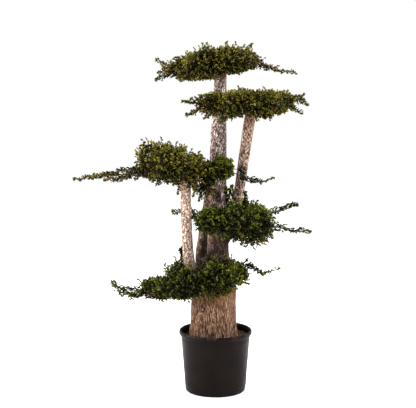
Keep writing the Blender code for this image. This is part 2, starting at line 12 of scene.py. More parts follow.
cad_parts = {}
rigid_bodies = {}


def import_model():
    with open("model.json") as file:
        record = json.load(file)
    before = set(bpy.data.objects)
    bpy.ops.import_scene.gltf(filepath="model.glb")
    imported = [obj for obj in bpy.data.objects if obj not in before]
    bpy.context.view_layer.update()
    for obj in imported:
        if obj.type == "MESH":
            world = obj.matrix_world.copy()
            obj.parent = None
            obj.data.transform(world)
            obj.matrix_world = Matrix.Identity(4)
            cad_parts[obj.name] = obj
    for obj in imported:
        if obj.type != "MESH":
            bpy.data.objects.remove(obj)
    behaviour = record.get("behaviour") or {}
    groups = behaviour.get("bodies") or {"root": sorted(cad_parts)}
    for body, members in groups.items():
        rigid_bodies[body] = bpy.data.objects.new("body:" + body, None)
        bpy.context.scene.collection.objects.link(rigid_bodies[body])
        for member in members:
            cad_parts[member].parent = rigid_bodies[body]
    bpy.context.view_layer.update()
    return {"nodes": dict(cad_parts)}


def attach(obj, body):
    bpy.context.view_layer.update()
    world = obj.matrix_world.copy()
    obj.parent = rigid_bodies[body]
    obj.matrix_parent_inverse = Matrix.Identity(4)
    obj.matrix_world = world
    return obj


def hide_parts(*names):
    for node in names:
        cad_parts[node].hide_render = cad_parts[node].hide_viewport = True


for leftover in list(bpy.data.objects):  # the file that the script is opened in
    bpy.data.objects.remove(leftover, do_unlink=True)
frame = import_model()
scene = bpy.context.scene
fullTurn = 2.0 * math.pi
print("frame loaded,", len(frame["nodes"]), "nodes")


def linearColour(hexColour):  # an sRGB hex value as linear red, green, blue and alpha
    channels = []
    for start in (1, 3, 5):
        value = int(hexColour[start:start + 2], 16) / 255.0
        channels.append(value / 12.92 if value <= 0.04045 else ((value + 0.055) / 1.055) ** 2.4)
    return (*channels, 1.0)


def newMaterial(name):
    material = bpy.data.materials.new(name)
    material.use_nodes = True
    tree = material.node_tree
    return material, tree, tree.nodes["Principled BSDF"]


def feed(tree, node, inputs):  # a link where the value is a socket, and a plain value elsewhere
    for name, value in inputs.items():
        if isinstance(value, bpy.types.NodeSocket):
            tree.links.new(value, node.inputs[name])
        else:
            node.inputs[name].default_value = value
    return node


def addNode(tree, kind, inputs, stops=(), **settings):  # the outputs of a new node
    node = tree.nodes.new("ShaderNode" + kind)
    for name, value in settings.items():
        setattr(node, name, value)
    if stops:  # the colours of a ramp, each with its place
        while len(node.color_ramp.elements) < len(stops):
            node.color_ramp.elements.new(0.5)
        for element, (place, colour) in zip(node.color_ramp.elements, stops):
            element.position = place
            element.color = linearColour(colour)
    return feed(tree, node, inputs).outputs


def addPiece(name, mesh, material, replaced):
    piece = bpy.data.objects.new(name, mesh)
    scene.collection.objects.link(piece)
    mesh.materials.append(material)
    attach(piece, "root")
    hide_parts(*replaced)


def meshOf(name, form):
    mesh = bpy.data.meshes.new(name)
    form.to_mesh(mesh)
    form.free()
    return mesh


def turned(profile, steps):  # a form spun about Z from radii and heights
    form = bmesh.new()
    verts = [form.verts.new((radius, 0.0, height)) for radius, height in profile]
    edges = [form.edges.new(pair) for pair in zip(verts, verts[1:])]
    bmesh.ops.spin(form, geom=verts + edges, cent=(0, 0, 0), axis=(0, 0, 1),
                   angle=fullTurn, steps=steps, use_merge=True)
    bmesh.ops.remove_doubles(form, verts=form.verts, dist=0.00001)
    bmesh.ops.recalc_face_normals(form, faces=form.faces)
    return form


def clamped(value):
    return min(max(value, 0.0), 1.0)


def smoothStep(low, high, value):
    share = clamped((value - low) / (high - low))
    return share * share * (3.0 - 2.0 * share)


def along(course, share):  # the point at a share of a smooth curve through the course
    spans = len(course) - 1
    place = clamped(share) * spans
    index = min(int(place), spans - 1)
    t = place - index
    before = course[max(index - 1, 0)]
    start = course[index]
    end = course[index + 1]
    after = course[min(index + 2, spans)]
    return 0.5 * (2.0 * start + (end - before) * t
                  + (2.0 * before - 5.0 * start + 4.0 * end - after) * t ** 2
                  + (3.0 * start - before - 3.0 * end + after) * t ** 3)


view = {
    "place": (-0.0293, -4.0, 1.2499),
    "tilt": 82.64,  # degrees from straight down
    "lens": 90.72,
    "sensor": 36.0,
}
cameraData = bpy.data.cameras.new("camera")
cameraData.lens = view["lens"]
cameraData.sensor_width = view["sensor"]
camera = bpy.data.objects.new("camera", cameraData)
camera.location = view["place"]
camera.rotation_euler = (math.radians(view["tilt"]), 0.0, 0.0)
scene.collection.objects.link(camera)
scene.camera = camera

studio = {
    "world": "#ffffff",
    "worldStrength": 1.0,
    "floor": "#ffffff",
    "floorReach": 30.0,
    # name, place, aim, size, power in watts
    "lamps": (
        ("keyRight", (3.2, -0.9, 2.2), (0.0, 0.0, 0.8), 1.4, 165.0),
        ("fillLeft", (-3.2, -0.6, 1.5), (0.0, 0.0, 0.6), 1.6, 190.0),
        ("topSoft", (0.2, 0.3, 3.2), (0.0, 0.0, 0.8), 1.6, 70.0),
    ),
}
world = bpy.data.worlds.new("studio")
world.use_nodes = True
feed(world.node_tree, world.node_tree.nodes["Background"], {
    "Color": linearColour(studio["world"]), "Strength": studio["worldStrength"]})
scene.world = world
scene.view_settings.view_transform = "Standard"
for name, place, aim, size, power in studio["lamps"]:
    lampData = bpy.data.lights.new(name, "AREA")
    lampData.shape = "SQUARE"
    lampData.size = size
    lampData.energy = power
    lamp = bpy.data.objects.new(name, lampData)
    lamp.location = place
    lamp.rotation_euler = (Vector(aim) - Vector(place)).to_track_quat("-Z", "Y").to_euler()
    scene.collection.objects.link(lamp)

floorForm = bmesh.new()
bmesh.ops.create_grid(floorForm, x_segments=1, y_segments=1, size=studio["floorReach"])
floorPiece = bpy.data.objects.new("floor", meshOf("floor", floorForm))
scene.collection.objects.link(floorPiece)
floorMaterial, floorTree, floorShader = newMaterial("matte studio paper")  # no gloss at all
feed(floorTree, floorShader, {
    "Base Color": linearColour(studio["floor"]), "Roughness": 1.0, "Specular IOR Level": 0.0})
floorPiece.data.materials.append(floorMaterial)
print("camera, light and floor made")


potLook = {
    "height": 0.24,
    "rimRadius": 0.142,
    "rimDepth": 0.018,
    "bodyTopRadius": 0.1345,
    "bodyFootRadius": 0.1177,
    "footRound": 0.007,
    "wall": 0.003,
    "soilLevel": 0.214,
    "steps": 160,
    "recess": 0.003,  # the middle of the base stands this far off the ground
    "rings": ((0.2085, 0.003), (0.2035, 0.0022), (0.047, 0.0026), (0.0385, 0.0026), (0.03, 0.0026)),
    "ringStand": 0.00045,
    "sharpFrom": 50,  # degrees
    "skin": ((0.3, "#0d0908"), (0.7, "#140d0b")),
    "skinSize": 0.09,
    # grey of handling wear, and on the lip also a painted highlight
    "scuffAndHighlight": "#3d3634",
    "lipWearAndHighlight": (0.222, 0.2395, 0.0, 0.8),  # two heights, and the wear and painted highlight at each
    "footWear": (0.012, 0.0, 0.0, 0.9),
    "cloudSize": 0.022,
    "rubbed": (0.46, 0.72),
    "gloss": (0.3, 0.75, 0.34, 0.5),
    "grain": 0.8,  # mm, coarser than the real mould texture so that it shows
}


def makePotMaterial():
    # Injection-moulded polypropylene, blown black: a satin skin with faint mould rings,
    # greyed a little by handling at the foot, and at the lip by handling and a painted highlight.
    look = potLook
    material, tree, shader = newMaterial("moulded black polypropylene")
    place = addNode(tree, "TexCoord", {})["Object"]
    height = addNode(tree, "SeparateXYZ", {0: place})["Z"]
    wearAndHighlightBands = []
    for low, high, least, most in (look["lipWearAndHighlight"], look["footWear"]):
        wearAndHighlightBands.append(addNode(tree, "MapRange", {
            "Value": height, "From Min": low, "From Max": high, "To Min": least, "To Max": most})[0])
    edges = addNode(tree, "Math", {0: wearAndHighlightBands[0], 1: wearAndHighlightBands[1]}, operation="MAXIMUM")[0]
    clouds = addNode(tree, "TexNoise", {
        "Vector": place, "Scale": 1.0 / look["cloudSize"], "Detail": 5.0, "Roughness": 0.62})[0]
    rubbed = addNode(tree, "MapRange", {
        "Value": clouds, "From Min": look["rubbed"][0], "From Max": look["rubbed"][1]})[0]
    # wear on the foot, and wear with a painted highlight on the lip, in rubbed patches
    wearAndHighlight = addNode(tree, "Math", {0: edges, 1: rubbed}, operation="MULTIPLY")[0]
    soft = addNode(tree, "TexNoise", {"Vector": place, "Scale": 1.0 / look["skinSize"], "Detail": 2.0})[0]
    skin = addNode(tree, "ValToRGB", {0: soft}, stops=look["skin"])[0]
    low, high, least, most = look["gloss"]
    grain = addNode(tree, "TexNoise", {"Vector": place, "Scale": 1000.0 / look["grain"], "Detail": 2.0})[0]
    feed(tree, shader, {
        "Base Color": addNode(tree, "Mix", {
            0: wearAndHighlight, 6: skin, 7: linearColour(look["scuffAndHighlight"])}, data_type="RGBA")[2],
        "Roughness": addNode(tree, "MapRange", {
            "Value": clouds, "From Min": low, "From Max": high, "To Min": least, "To Max": most})[0],
        "Normal": addNode(tree, "Bump", {"Strength": 0.1, "Distance": 0.0004, "Height": grain})[0],
        "IOR": 1.49,
        "Specular IOR Level": 0.045,  # its fine dust leaves little gloss
    })
    return material


def wallRadius(height):  # the outside of the tapered wall
    look = potLook
    share = height / (look["height"] - look["rimDepth"])
    return look["bodyFootRadius"] + (look["bodyTopRadius"] - look["bodyFootRadius"]) * share


def makePot():
    look = potLook
    rimFoot = look["height"] - look["rimDepth"]
    top = look["height"]
    rim = look["rimRadius"]
    foot = look["bodyFootRadius"]
    profile = [
        (0.0, look["recess"]),
        (foot - 0.02, look["recess"]),
        (foot - 0.017, 0.0),
        (foot - look["footRound"], 0.0),
        (foot - 0.003, 0.0012),
        (foot - 0.0008, 0.0042),
        (foot - 0.0001, 0.0078),
        (wallRadius(0.022) - 0.0009, 0.022),
        (wallRadius(0.024), 0.024),
    ]
    for level, width in sorted(look["rings"]):
        stand = look["ringStand"]
        profile += [
            (wallRadius(level - width), level - width),
            (wallRadius(level - 0.4 * width) + stand, level - 0.4 * width),
            (wallRadius(level + 0.4 * width) + stand, level + 0.4 * width),
            (wallRadius(level + width), level + width),
        ]
    profile += [
        (wallRadius(rimFoot - 0.002), rimFoot - 0.002),
        (wallRadius(rimFoot) + 0.0012, rimFoot - 0.0002),
        (rim - 0.004, rimFoot + 0.0002),
        (rim - 0.0012, rimFoot + 0.0016),
        (rim - 0.0001, rimFoot + 0.0045),
        (rim, top - 0.006),
        (rim - 0.0009, top - 0.0025),
        (rim - 0.0028, top - 0.0005),
        (rim - 0.0046, top),
        (rim - 0.0064, top - 0.0009),
        (rim - 0.0076, top - 0.0032),
        (wallRadius(rimFoot) - look["wall"] + 0.001, rimFoot + 0.004),
        (wallRadius(rimFoot) - look["wall"], rimFoot - 0.002),
        (wallRadius(look["wall"]) - look["wall"], look["wall"] + look["recess"]),
        (0.0, look["wall"] + look["recess"]),
    ]
    mesh = meshOf("potShell", turned(profile, look["steps"]))
    mesh.shade_smooth()
    mesh.set_sharp_from_angle(angle=math.radians(look["sharpFrom"]))
    addPiece("potShell", mesh, makePotMaterial(), ["pot"])


def arrayMesh(name, points, faces):  # a mesh from an array of points and one of triangles
    mesh = bpy.data.meshes.new(name)
    mesh.vertices.add(len(points))
    mesh.vertices.foreach_set("co", np.ascontiguousarray(points, dtype=np.float32).ravel())
    mesh.loops.add(faces.size)
    mesh.loops.foreach_set("vertex_index", np.ascontiguousarray(faces, dtype=np.int32).ravel())
    mesh.polygons.add(len(faces))
    mesh.polygons.foreach_set("loop_start", np.arange(0, faces.size, 3, dtype=np.int32))
    mesh.update(calc_edges=True)
    return mesh


def joined(parts):  # one array of points and one of triangles from many
    points, faces, count = [], [], 0
    for partPoints, partFaces in parts:
        points.append(partPoints)
        faces.append(partFaces + count)
        count += len(partPoints)
    return np.concatenate(points), np.concatenate(faces)


soilLook = {
    "bumps": 0.0022,
    "bumpSize": 0.014,
    "settled": 0.001,  # how far the bed lies under its level
    "depth": 0.014,
    "rings": 30,
    "steps": 120,
    "chips": 1500,
    "fibres": 420,
    "chipLength": (0.003, 0.009),
    "fibreLength": (0.01, 0.026),
    "chipBand": (0.42, 0.985),
    "fibreBand": (0.45, 0.93),
    "fibreRadii": (0.0005, 0.0003),
    "seed": 11,
    # near-black crumbs with brown and tan bits, then two that lie on them, all darkened as painted shade for
    # the shade on the bed
    "peat": ((0.32, "#150d09"), (0.5, "#3a261b"), (0.68, "#65493a")),
    "bark": ((0.3, "#23150e"), (0.52, "#573b28"), (0.72, "#8a6a4c")),
    "coir": ((0.35, "#4c3120"), (0.65, "#83623f")),
    "crumb": 0.005,
}


def makeSoilMaterial(name, stops):  # quite matt
    material, tree, shader = newMaterial(name)
    place = addNode(tree, "TexCoord", {})["Object"]
    crumbs = addNode(tree, "TexNoise", {
        "Vector": place, "Scale": 1.0 / soilLook["crumb"], "Detail": 6.0, "Roughness": 0.7})[0]
    feed(tree, shader, {
        "Base Color": addNode(tree, "ValToRGB", {0: crumbs}, stops=stops)[0],
        "Normal": addNode(tree, "Bump", {"Strength": 0.7, "Distance": 0.002, "Height": crumbs})[0],
        "Roughness": 0.95,
        "Specular IOR Level": 0.2,
    })
    return material


def soilHeight(x, y):
    look = soilLook
    return potLook["soilLevel"] - look["settled"] + look["bumps"] * (
        noise.noise(Vector((x, y, 0.3)) / look["bumpSize"])
        + 0.5 * noise.noise(Vector((x, y, 0.7)) / (0.4 * look["bumpSize"])))


def scattered(rule, reach, low, high):  # a place between two shares of the bed's area
    angle = rule.uniform(0.0, fullTurn)
    radius = reach * math.sqrt(rule.uniform(low, high))
    return angle, radius


def makeSoil():
    look = soilLook
    level = potLook["soilLevel"]
    reach = wallRadius(level) - potLook["wall"] - 0.0002
    rings = look["rings"]
    profile = [(reach * part / rings, level) for part in range(rings + 1)]
    profile += [(reach - 0.001, level - look["depth"]), (0.0, level - look["depth"])]
    form = turned(profile, look["steps"])
    for vert in form.verts:
        if vert.co.z > level - look["settled"]:
            vert.co.z = soilHeight(vert.co.x, vert.co.y)
    mesh = meshOf("soilBed", form)
    mesh.shade_smooth()
    peat = makeSoilMaterial("peat and composted bark", look["peat"])
    addPiece("soilBed", mesh, peat, ["soil"])

    # Chips and coir fibres lie on the bed between the foot of the trunk and the wall
    rule = random.Random(look["seed"])
    cube = np.array([(x, y, z) for x in (-0.5, 0.5) for y in (-0.5, 0.5) for z in (-0.5, 0.5)])
    cubeFaces = np.array([(0, 1, 3), (0, 3, 2), (4, 6, 7), (4, 7, 5), (0, 4, 5), (0, 5, 1),
                          (2, 3, 7), (2, 7, 6), (0, 2, 6), (0, 6, 4), (1, 5, 7), (1, 7, 3)])
    chips = []
    for chip in range(look["chips"]):
        angle, radius = scattered(rule, reach, *look["chipBand"])
        length = rule.uniform(*look["chipLength"])
        turn = (Matrix.Rotation(rule.uniform(0, math.pi), 3, "Z")
                @ Matrix.Rotation(rule.uniform(-0.5, 0.5), 3, "Y")
                @ Matrix.Rotation(rule.uniform(-0.6, 0.6), 3, "X"))
        size = np.array((length, length * rule.uniform(0.35, 0.7), length * rule.uniform(0.12, 0.35)))
        x, y = radius * math.cos(angle), radius * math.sin(angle)
        ragged = cube * size * (1.0 + 0.35 * np.array([[rule.uniform(-1, 1)] * 3 for corner in range(8)]))
        if math.hypot(x, y) + 0.5 * length > reach:
            continue
        centre = np.array((x, y, soilHeight(x, y) + 0.25 * size[2]))
        chips.append((ragged @ np.array(turn).T + centre, cubeFaces))
    bark = makeSoilMaterial("pine bark chips", look["bark"])
    addPiece("soilChips", arrayMesh("soilChips", *joined(chips)), bark, ["soil"])

    fibres = []
    for fibre in range(look["fibres"]):
        angle, radius = scattered(rule, reach, *look["fibreBand"])
        length = rule.uniform(*look["fibreLength"])
        heading = rule.uniform(0.0, fullTurn)
        bend = rule.uniform(-1.2, 1.2)
        points = []
        x, y = radius * math.cos(angle), radius * math.sin(angle)
        for step in range(5):
            points.append(Vector((x, y, soilHeight(x, y) + 0.0011)))
            x += 0.25 * length * math.cos(heading)
            y += 0.25 * length * math.sin(heading)
            heading += 0.25 * bend
        if max(math.hypot(p.x, p.y) for p in points) < reach - 0.001:
            fibres.append(twigArrays(points, *look["fibreRadii"]))
    coir = makeSoilMaterial("coir fibre", look["coir"])
    addPiece("soilFibres", arrayMesh("soilFibres", *joined(fibres)), coir, ["soil"])


def twigArrays(course, rootRadius, tipRadius, sides=3):  # a closed thin tube along a course
    points = np.array([tuple(point) for point in course])
    runs = np.gradient(points, axis=0)
    runs /= np.linalg.norm(runs, axis=1, keepdims=True)
    upright = np.array((0.0, 0.0, 1.0)) if abs(runs[0][2]) < 0.8 else np.array((0.0, 1.0, 0.0))
    across = np.cross(runs, upright)
    across /= np.linalg.norm(across, axis=1, keepdims=True)
    over = np.cross(across, runs)
    radii = np.linspace(rootRadius, tipRadius, len(points))[:, None]
    turns = 2.0 * np.pi * np.arange(sides) / sides
    rings = [points + radii * (across * math.cos(turn) + over * math.sin(turn)) for turn in turns]
    verts = np.stack(rings, axis=1).reshape(-1, 3)
    verts = np.concatenate((verts, points[:1] - runs[:1] * rootRadius, points[-1:] + runs[-1:] * tipRadius))
    faces = []
    count = len(points)
    for ring in range(count - 1):
        for side in range(sides):
            a, b = ring * sides + side, ring * sides + (side + 1) % sides
            faces += [(a, a + sides, b), (b, a + sides, b + sides)]
    for side in range(sides):
        beside = (side + 1) % sides
        faces.append((side, beside, count * sides))
        last = (count - 1) * sides
        faces.append((last + beside, last + side, count * sides + 1))
    return verts, np.array(faces)


makePot()
makeSoil()
print("pot and soil made")


trunkLook = {
    "course": (
        (-0.012, 0.0, 0.2143), (-0.0085, 0.0, 0.36), (0.0075, 0.004, 0.56),
        (0.0065, 0.003, 0.79), (0.0135, 0.0, 1.05), (0.0195, 0.0, 1.264),
    ),
    "radiusAtFork": 0.0427,
    "radiusAtTop": 0.0215,
    "fork": 0.56,
    "buttSwell": 0.0355,
    "buttLevel": 0.395,
    "flareSwell": 0.0065,
    "flareHeight": 0.045,
    "lobes": 5,
    "buttLobe": 0.045,
    "stemLobe": 0.015,
    "sunk": 0.006,  # how far the foot goes on into the soil
    "crowding": 1.25,  # rings stand closer on the butt, where the strips are deepest
    "girth": 0.05,  # the radius that the strips are laid out on
    "girthShare": 0.45,
    "strips": (0.42, 0.66),  # heights between which the butt's bark gives way to the stem's
    "warmBands": ((0.385, 0.05), (0.6, 0.024), (1.222, 0.024)),  # level and reach
    "sides": 250,
    "rings": 380,
}
boughLook = {
    "sides": 120,
    "rings": 300,
    "covered": 1.238,  # the trunk's tip, above this level, is inside the top pad and is painted in shade
    "paintedShadeFrom": 0.4,  # the butt, below this level, gets no painted shade from limbs close by
    "paintedShadeReach": 0.055,  # how near another limb brings painted shade onto the bark
    "paintedShadeMost": 0.96,
    "coveredShadeMost": 0.8,
    "front": -0.03,  # the painted shadows lie on bark in front of this
    "collar": (0.006, 0.1, 0.34),  # where a bough leaves the trunk: its stand, and the shares it fades over
    "foot": (0.0055, 0.4, 0.66),  # the same for the middle bough, which is grown on to the trunk
    "warmFrom": (0.8, 0.96),
    "roundFrom": 0.985,  # share at which any limb rounds off to its tip
    # Painted shadows on the bark in front, between the foliage and the fork: X, Z, half width,
    # half height and how dark
    "paintedShadows": ((-0.036, 0.625, 0.014, 0.03, 0.97), (-0.042, 0.592, 0.017, 0.028, 0.98),
                  (-0.048, 0.56, 0.018, 0.03, 0.98), (0.012, 0.768, 0.024, 0.034, 0.9)),
    # course, radius at the root and at the tip
    "bough_left": ((
        (-0.022, -0.02, 0.375), (-0.066, -0.06, 0.425), (-0.096, -0.088, 0.505),
        (-0.107, -0.11, 0.612), (-0.112, -0.132, 0.76), (-0.1125, -0.142, 0.862),
    ), 0.023, 0.0188),
    "bough_middle": ((
        (-0.012, -0.008, 0.42), (-0.048, -0.034, 0.468), (-0.06, -0.05, 0.53),
        (-0.0497, -0.066, 0.623), (-0.036, -0.082, 0.715), (-0.018, -0.095, 0.832),
    ), 0.019, 0.016),
    "bough_right": ((
        (0.014, 0.004, 0.565), (0.05, 0.001, 0.628), (0.0745, -0.011, 0.705),
        (0.095, -0.028, 0.825), (0.116, -0.042, 0.982), (0.135, -0.052, 1.102),
    ), 0.018, 0.0212),
}
# The bark's strips on each limb: their width, length and depth in metres
barkRelief = {
    "butt": {"width": 0.0056, "length": 0.05, "depth": 0.0036, "swell": 0.0024},
    "stem": {"width": 0.0056, "length": 0.024, "depth": 0.0026, "swell": 0.0015},
    "bough": {"width": 0.0042, "length": 0.014, "depth": 0.0011, "swell": 0.0011},
}
knotLook = {"reach": 1.6, "rise": 0.0022, "dip": 0.003, "pale": 0.25, "dark": 0.7}
# Knots on the trunk: heading in degrees, level and radius
knots = ((264, 0.318, 0.0095), (32, 0.345, 0.012), (118, 0.3, 0.011), (196, 0.42, 0.009),
         (300, 0.9, 0.006), (80, 0.76, 0.007), (170, 1.01, 0.006))


def trunkRadius(height):
    look = trunkLook
    taper = (look["radiusAtTop"] - look["radiusAtFork"]) / (look["course"][-1][2] - look["fork"])
    stem = look["radiusAtFork"] + taper * (height - look["fork"])
    butt = look["buttSwell"] * (1.0 - smoothStep(look["buttLevel"], look["fork"], height))
    flare = look["flareSwell"] * math.exp((potLook["soilLevel"] - height) / look["flareHeight"])
    return stem + butt + flare


def barkAt(relief, angle, girth, run, seed):
    # Long strips with cracks between them: the height of the bark, and how much it is strip,
    # from 0 in a crack to 1
    x, y = math.cos(angle) * girth, math.sin(angle) * girth
    bend = noise.noise(Vector((x / 0.03, y / 0.03, run / 0.06 + seed)))
    around = Vector((x + 0.004 * bend, y - 0.004 * bend, 0.0)) / relief["width"]
    wide = abs(noise.noise(0.62 * around + Vector((seed, 3.0, run / relief["length"]))))
    fine = abs(noise.noise(1.5 * around + Vector((5.0, seed, run / (0.5 * relief["length"])))))
    own = 0.5 + noise.noise(0.9 * around + Vector((seed, 8.0, run / (0.7 * relief["length"]))))
    ridge = 0.62 * min(1.0, 5.5 * wide) + 0.22 * min(1.0, 5.0 * fine) + 0.16 * own
    return relief["depth"] * (ridge - 0.75) + relief["swell"] * bend, ridge


def makeTube(name, sides, rings, surface):
    # A grid rolled into a tube: surface(angle, share) gives a place and two values that
    # the material reads. Both ends close on a pole.
    form = bmesh.new()
    bmesh.ops.create_grid(form, x_segments=sides, y_segments=rings, size=0.5)
    ridgeLayer = form.verts.layers.float.new("ridge")
    warmLayer = form.verts.layers.float.new("warm")
    for vert in form.verts:
        around = round((vert.co.x + 0.5) * sides) % sides
        share = clamped(vert.co.y + 0.5)
        vert.co, vert[ridgeLayer], vert[warmLayer] = surface(fullTurn * around / sides, share)
    bmesh.ops.remove_doubles(form, verts=form.verts, dist=0.000005)
    bmesh.ops.recalc_face_normals(form, faces=form.faces)
    mesh = meshOf(name, form)
    mesh.shade_smooth()
    return mesh


def trunkSurface(angle, share):
    look = trunkLook
    step = 1.0 / look["rings"]
    centre = along(trunkCourse, share ** look["crowding"])
    if share < 0.5 * step:
        return centre - Vector((0, 0, look["sunk"])), 0.0, 0.0
    if share < 1.5 * step:
        centre = centre - Vector((0, 0, look["sunk"]))
    height = centre.z
    foot = 1.0 - smoothStep(look["buttLevel"], look["fork"], height)
    lobe = 1.0 + (look["stemLobe"] + (look["buttLobe"] - look["stemLobe"]) * foot) * math.cos(
        look["lobes"] * angle + 2.0 * height)
    radius = trunkRadius(height)
    girth = look["girth"] + look["girthShare"] * (radius - look["girth"])
    blend = 1.0 - smoothStep(*look["strips"], height)
    lift, ridge = barkAt(barkRelief["stem"], angle, girth, height, 3.0)
    if blend > 0.0:
        buttLift, buttRidge = barkAt(barkRelief["butt"], angle, girth, height, 9.0)
        lift += (buttLift - lift) * blend
        ridge += (buttRidge - ridge) * blend
    for heading, level, size in knots:
        away = (angle - math.radians(heading) + math.pi) % fullTurn - math.pi
        far = math.hypot(away * radius, 0.75 * (height - level)) / size
        if far < knotLook["reach"]:
            ring = 1.0 - (math.cos(far * math.pi) * 0.5 + 0.5)
            fade = 1.0 - smoothStep(1.0, knotLook["reach"], far)
            lift += fade * (knotLook["rise"] * ring - knotLook["dip"] * (1.0 - smoothStep(0.0, 0.5, far)))
            ridge += fade * (knotLook["pale"] * ring - knotLook["dark"] * (1.0 - smoothStep(0.0, 0.55, far)))
    tip = 1.0 - smoothStep(boughLook["roundFrom"], 1.0, share)
    out = max(0.0, (radius * lobe + lift) * math.sqrt(tip))
    if share > 1.0 - 0.5 * step:
        out = 0.0
    warm = 0.0
    for level, reach in look["warmBands"]:
        warm = max(warm, 1.0 - abs(height - level) / reach)
    way = Vector((math.cos(angle) * 2.2, math.sin(angle) * 2.2, height / 0.04))
    warm *= 0.5 + 1.1 * noise.noise(way)
    spot = centre + Vector((math.cos(angle) * out, math.sin(angle) * -out, 0.0))
    return spot, max(ridge, 0.0), clamped(warm)


def boughSurface(name, seed):
    course, rootRadius, tipRadius = boughLook[name]
    course = [Vector(point) for point in course]
    step = 1.0 / boughLook["rings"]

    def surface(angle, share):
        centre = along(course, share)
        run = (along(course, share + 0.01) - along(course, share - 0.01)).normalized()
        across = Vector((0, 1, 0)).cross(run).normalized()
        depth = run.cross(across)
        radius = rootRadius + (tipRadius - rootRadius) * share
        collar, collarStart, collarEnd = boughLook["collar"]
        radius += collar * (1.0 - smoothStep(collarStart, collarEnd, share))
        if name == "bough_middle":
            foot, footStart, footEnd = boughLook["foot"]
            foot *= 1.0 - smoothStep(footStart, footEnd, share)
            radius += foot
            centre = centre + Vector((foot, 0.4 * foot, 0.0))
        lift, ridge = barkAt(barkRelief["bough"], angle, radius, centre.z * 1.05, seed)
        tip = 1.0 - smoothStep(boughLook["roundFrom"], 1.0, share)
        out = max(0.0, radius + lift - 0.0003) * math.sqrt(tip)
        if share < 0.5 * step or share > 1.0 - 0.5 * step:
            out = 0.0
        way = Vector((math.cos(angle), math.sin(angle), centre.z / 0.03 + seed))
        warm = smoothStep(*boughLook["warmFrom"], share)
        warm *= 0.45 + 1.1 * noise.noise(way)
        spot = centre + across * (out * math.cos(angle)) + depth * (out * math.sin(angle))
        return spot, ridge, clamped(warm)

    return surface


barkLook = {
    "wanderSize": 0.016,
    "wander": 0.003,  # how far strips stray from straight
    "crack": (0.405, 0.475),
    "toneShare": 0.55,
    "levels": (1.12, 1.66),  # of tone, fibre, ridge and patch together
    "stops": (0.1, 0.48, 0.9),
    "innerBark": "#4a2c18",
    # the colour of the painted shade on the bark
    "paintedShade": "#1d130c",
}
# A zone has a strip's width and stretch, and colours from the cracks to the palest strips
buttZone = (0.0029, 7.0, "#1b120d", "#402c1f", "#614534", "#967864")
stemZone = (0.0034, 2.6, "#2b211f", "#57463f", "#8d756b", "#ddd1ca")
paleZone = (0.0034, 1.7, "#2f231d", "#6d5240", "#9a8070", "#d9c9bc")
brownZone = (0.0034, 1.9, "#1f1512", "#48352c", "#7b6153", "#c8b19f")


def barkPattern(tree, place, width, stretch):
    # Strips of one width, longer by the stretch: their tone, their fibres and the dark between
    look = barkLook
    wander = addNode(tree, "TexNoise", {
        "Vector": place, "Scale": 1.0 / look["wanderSize"], "Detail": 3.0})[1]
    bent = addNode(tree, "VectorMath", {
        0: wander, 1: [look["wander"]] * 3, 2: place}, operation="MULTIPLY_ADD")[0]
    drawn = addNode(tree, "Mapping", {"Vector": bent, "Scale": (1.0, 1.0, 1.0 / stretch)})[0]
    fibres = addNode(tree, "TexNoise", {
        "Vector": drawn, "Scale": 1.0 / width, "Detail": 5.0, "Roughness": 0.66})[0]
    crack = addNode(tree, "MapRange", {
        "Value": fibres, "From Min": look["crack"][0], "From Max": look["crack"][1]})[0]
    tone = addNode(tree, "TexNoise", {
        "Vector": drawn, "Scale": look["toneShare"] / width, "Detail": 1.0})[0]
    return tone, fibres, crack


def makeBarkMaterial(name, zones, levels, warm, fleck):
    # Old juniper bark: fibrous strips that weather grey-pink on top and stay dark and red
    # in the cracks, with tan inner bark where a shoot has been stripped. Dry and matt.
    # The zones go from the low one up, and the levels are the heights they change over.
    look = barkLook
    material, tree, shader = newMaterial(name)
    place = addNode(tree, "TexCoord", {})["Object"]
    # the last attribute is the painted shade on the bark
    ridge, warmth, paintedShade = [addNode(tree, "Attribute", {}, attribute_name=layer)["Fac"]
                             for layer in ("ridge", "warm", "paintedShade")]
    patches = addNode(tree, "TexNoise", {
        "Vector": place, "Scale": 1.0 / fleck, "Detail": 3.0, "Roughness": 0.6})[0]
    colours, heights = [], []
    for width, stretch, crevice, *tones in zones:
        tone, fibres, crack = barkPattern(tree, place, width, stretch)
        level = fibres
        for layer, share in ((tone, 0.9), (ridge, 0.22), (patches, 0.5)):
            level = addNode(tree, "Math", {0: layer, 1: share, 2: level}, operation="MULTIPLY_ADD")[0]
        level = addNode(tree, "MapRange", {
            "Value": level, "From Min": look["levels"][0], "From Max": look["levels"][1]})[0]
        strip = addNode(tree, "ValToRGB", {0: level}, stops=list(zip(look["stops"], tones)))[0]
        colours.append(addNode(tree, "Mix", {
            0: crack, 6: linearColour(crevice), 7: strip}, data_type="RGBA")[2])
        heights.append(addNode(tree, "Math", {0: fibres, 1: 0.9, 2: crack}, operation="MULTIPLY_ADD")[0])
    colour, relief = colours[-1], heights[-1]
    if len(zones) > 1:
        height = addNode(tree, "SeparateXYZ", {0: place})["Z"]
        rise = addNode(tree, "MapRange", {"Value": height, "From Min": levels[0], "From Max": levels[1]})[0]
        colour = addNode(tree, "Mix", {0: rise, 6: colours[0], 7: colours[1]}, data_type="RGBA")[2]
        relief = addNode(tree, "Mix", {0: rise, 2: heights[0], 3: heights[1]}, data_type="FLOAT")[0]
    innerBark = addNode(tree, "ValToRGB", {0: level}, stops=((0.1, look["innerBark"]), (0.7, warm)))[0]
    warmed = addNode(tree, "Mix", {0: warmth, 6: colour, 7: innerBark}, data_type="RGBA")[2]
    feed(tree, shader, {
        # painted shade: bark close to another limb, inside the top pad and in the painted shadows is drawn
        # dark
        "Base Color": addNode(tree, "Mix", {
            0: paintedShade, 6: warmed, 7: linearColour(look["paintedShade"])}, data_type="RGBA")[2],
        "Normal": addNode(tree, "Bump", {"Strength": 0.6, "Distance": 0.0016, "Height": relief})[0],
        "Roughness": 0.92,
        "Specular IOR Level": 0.12,
    })
    return material


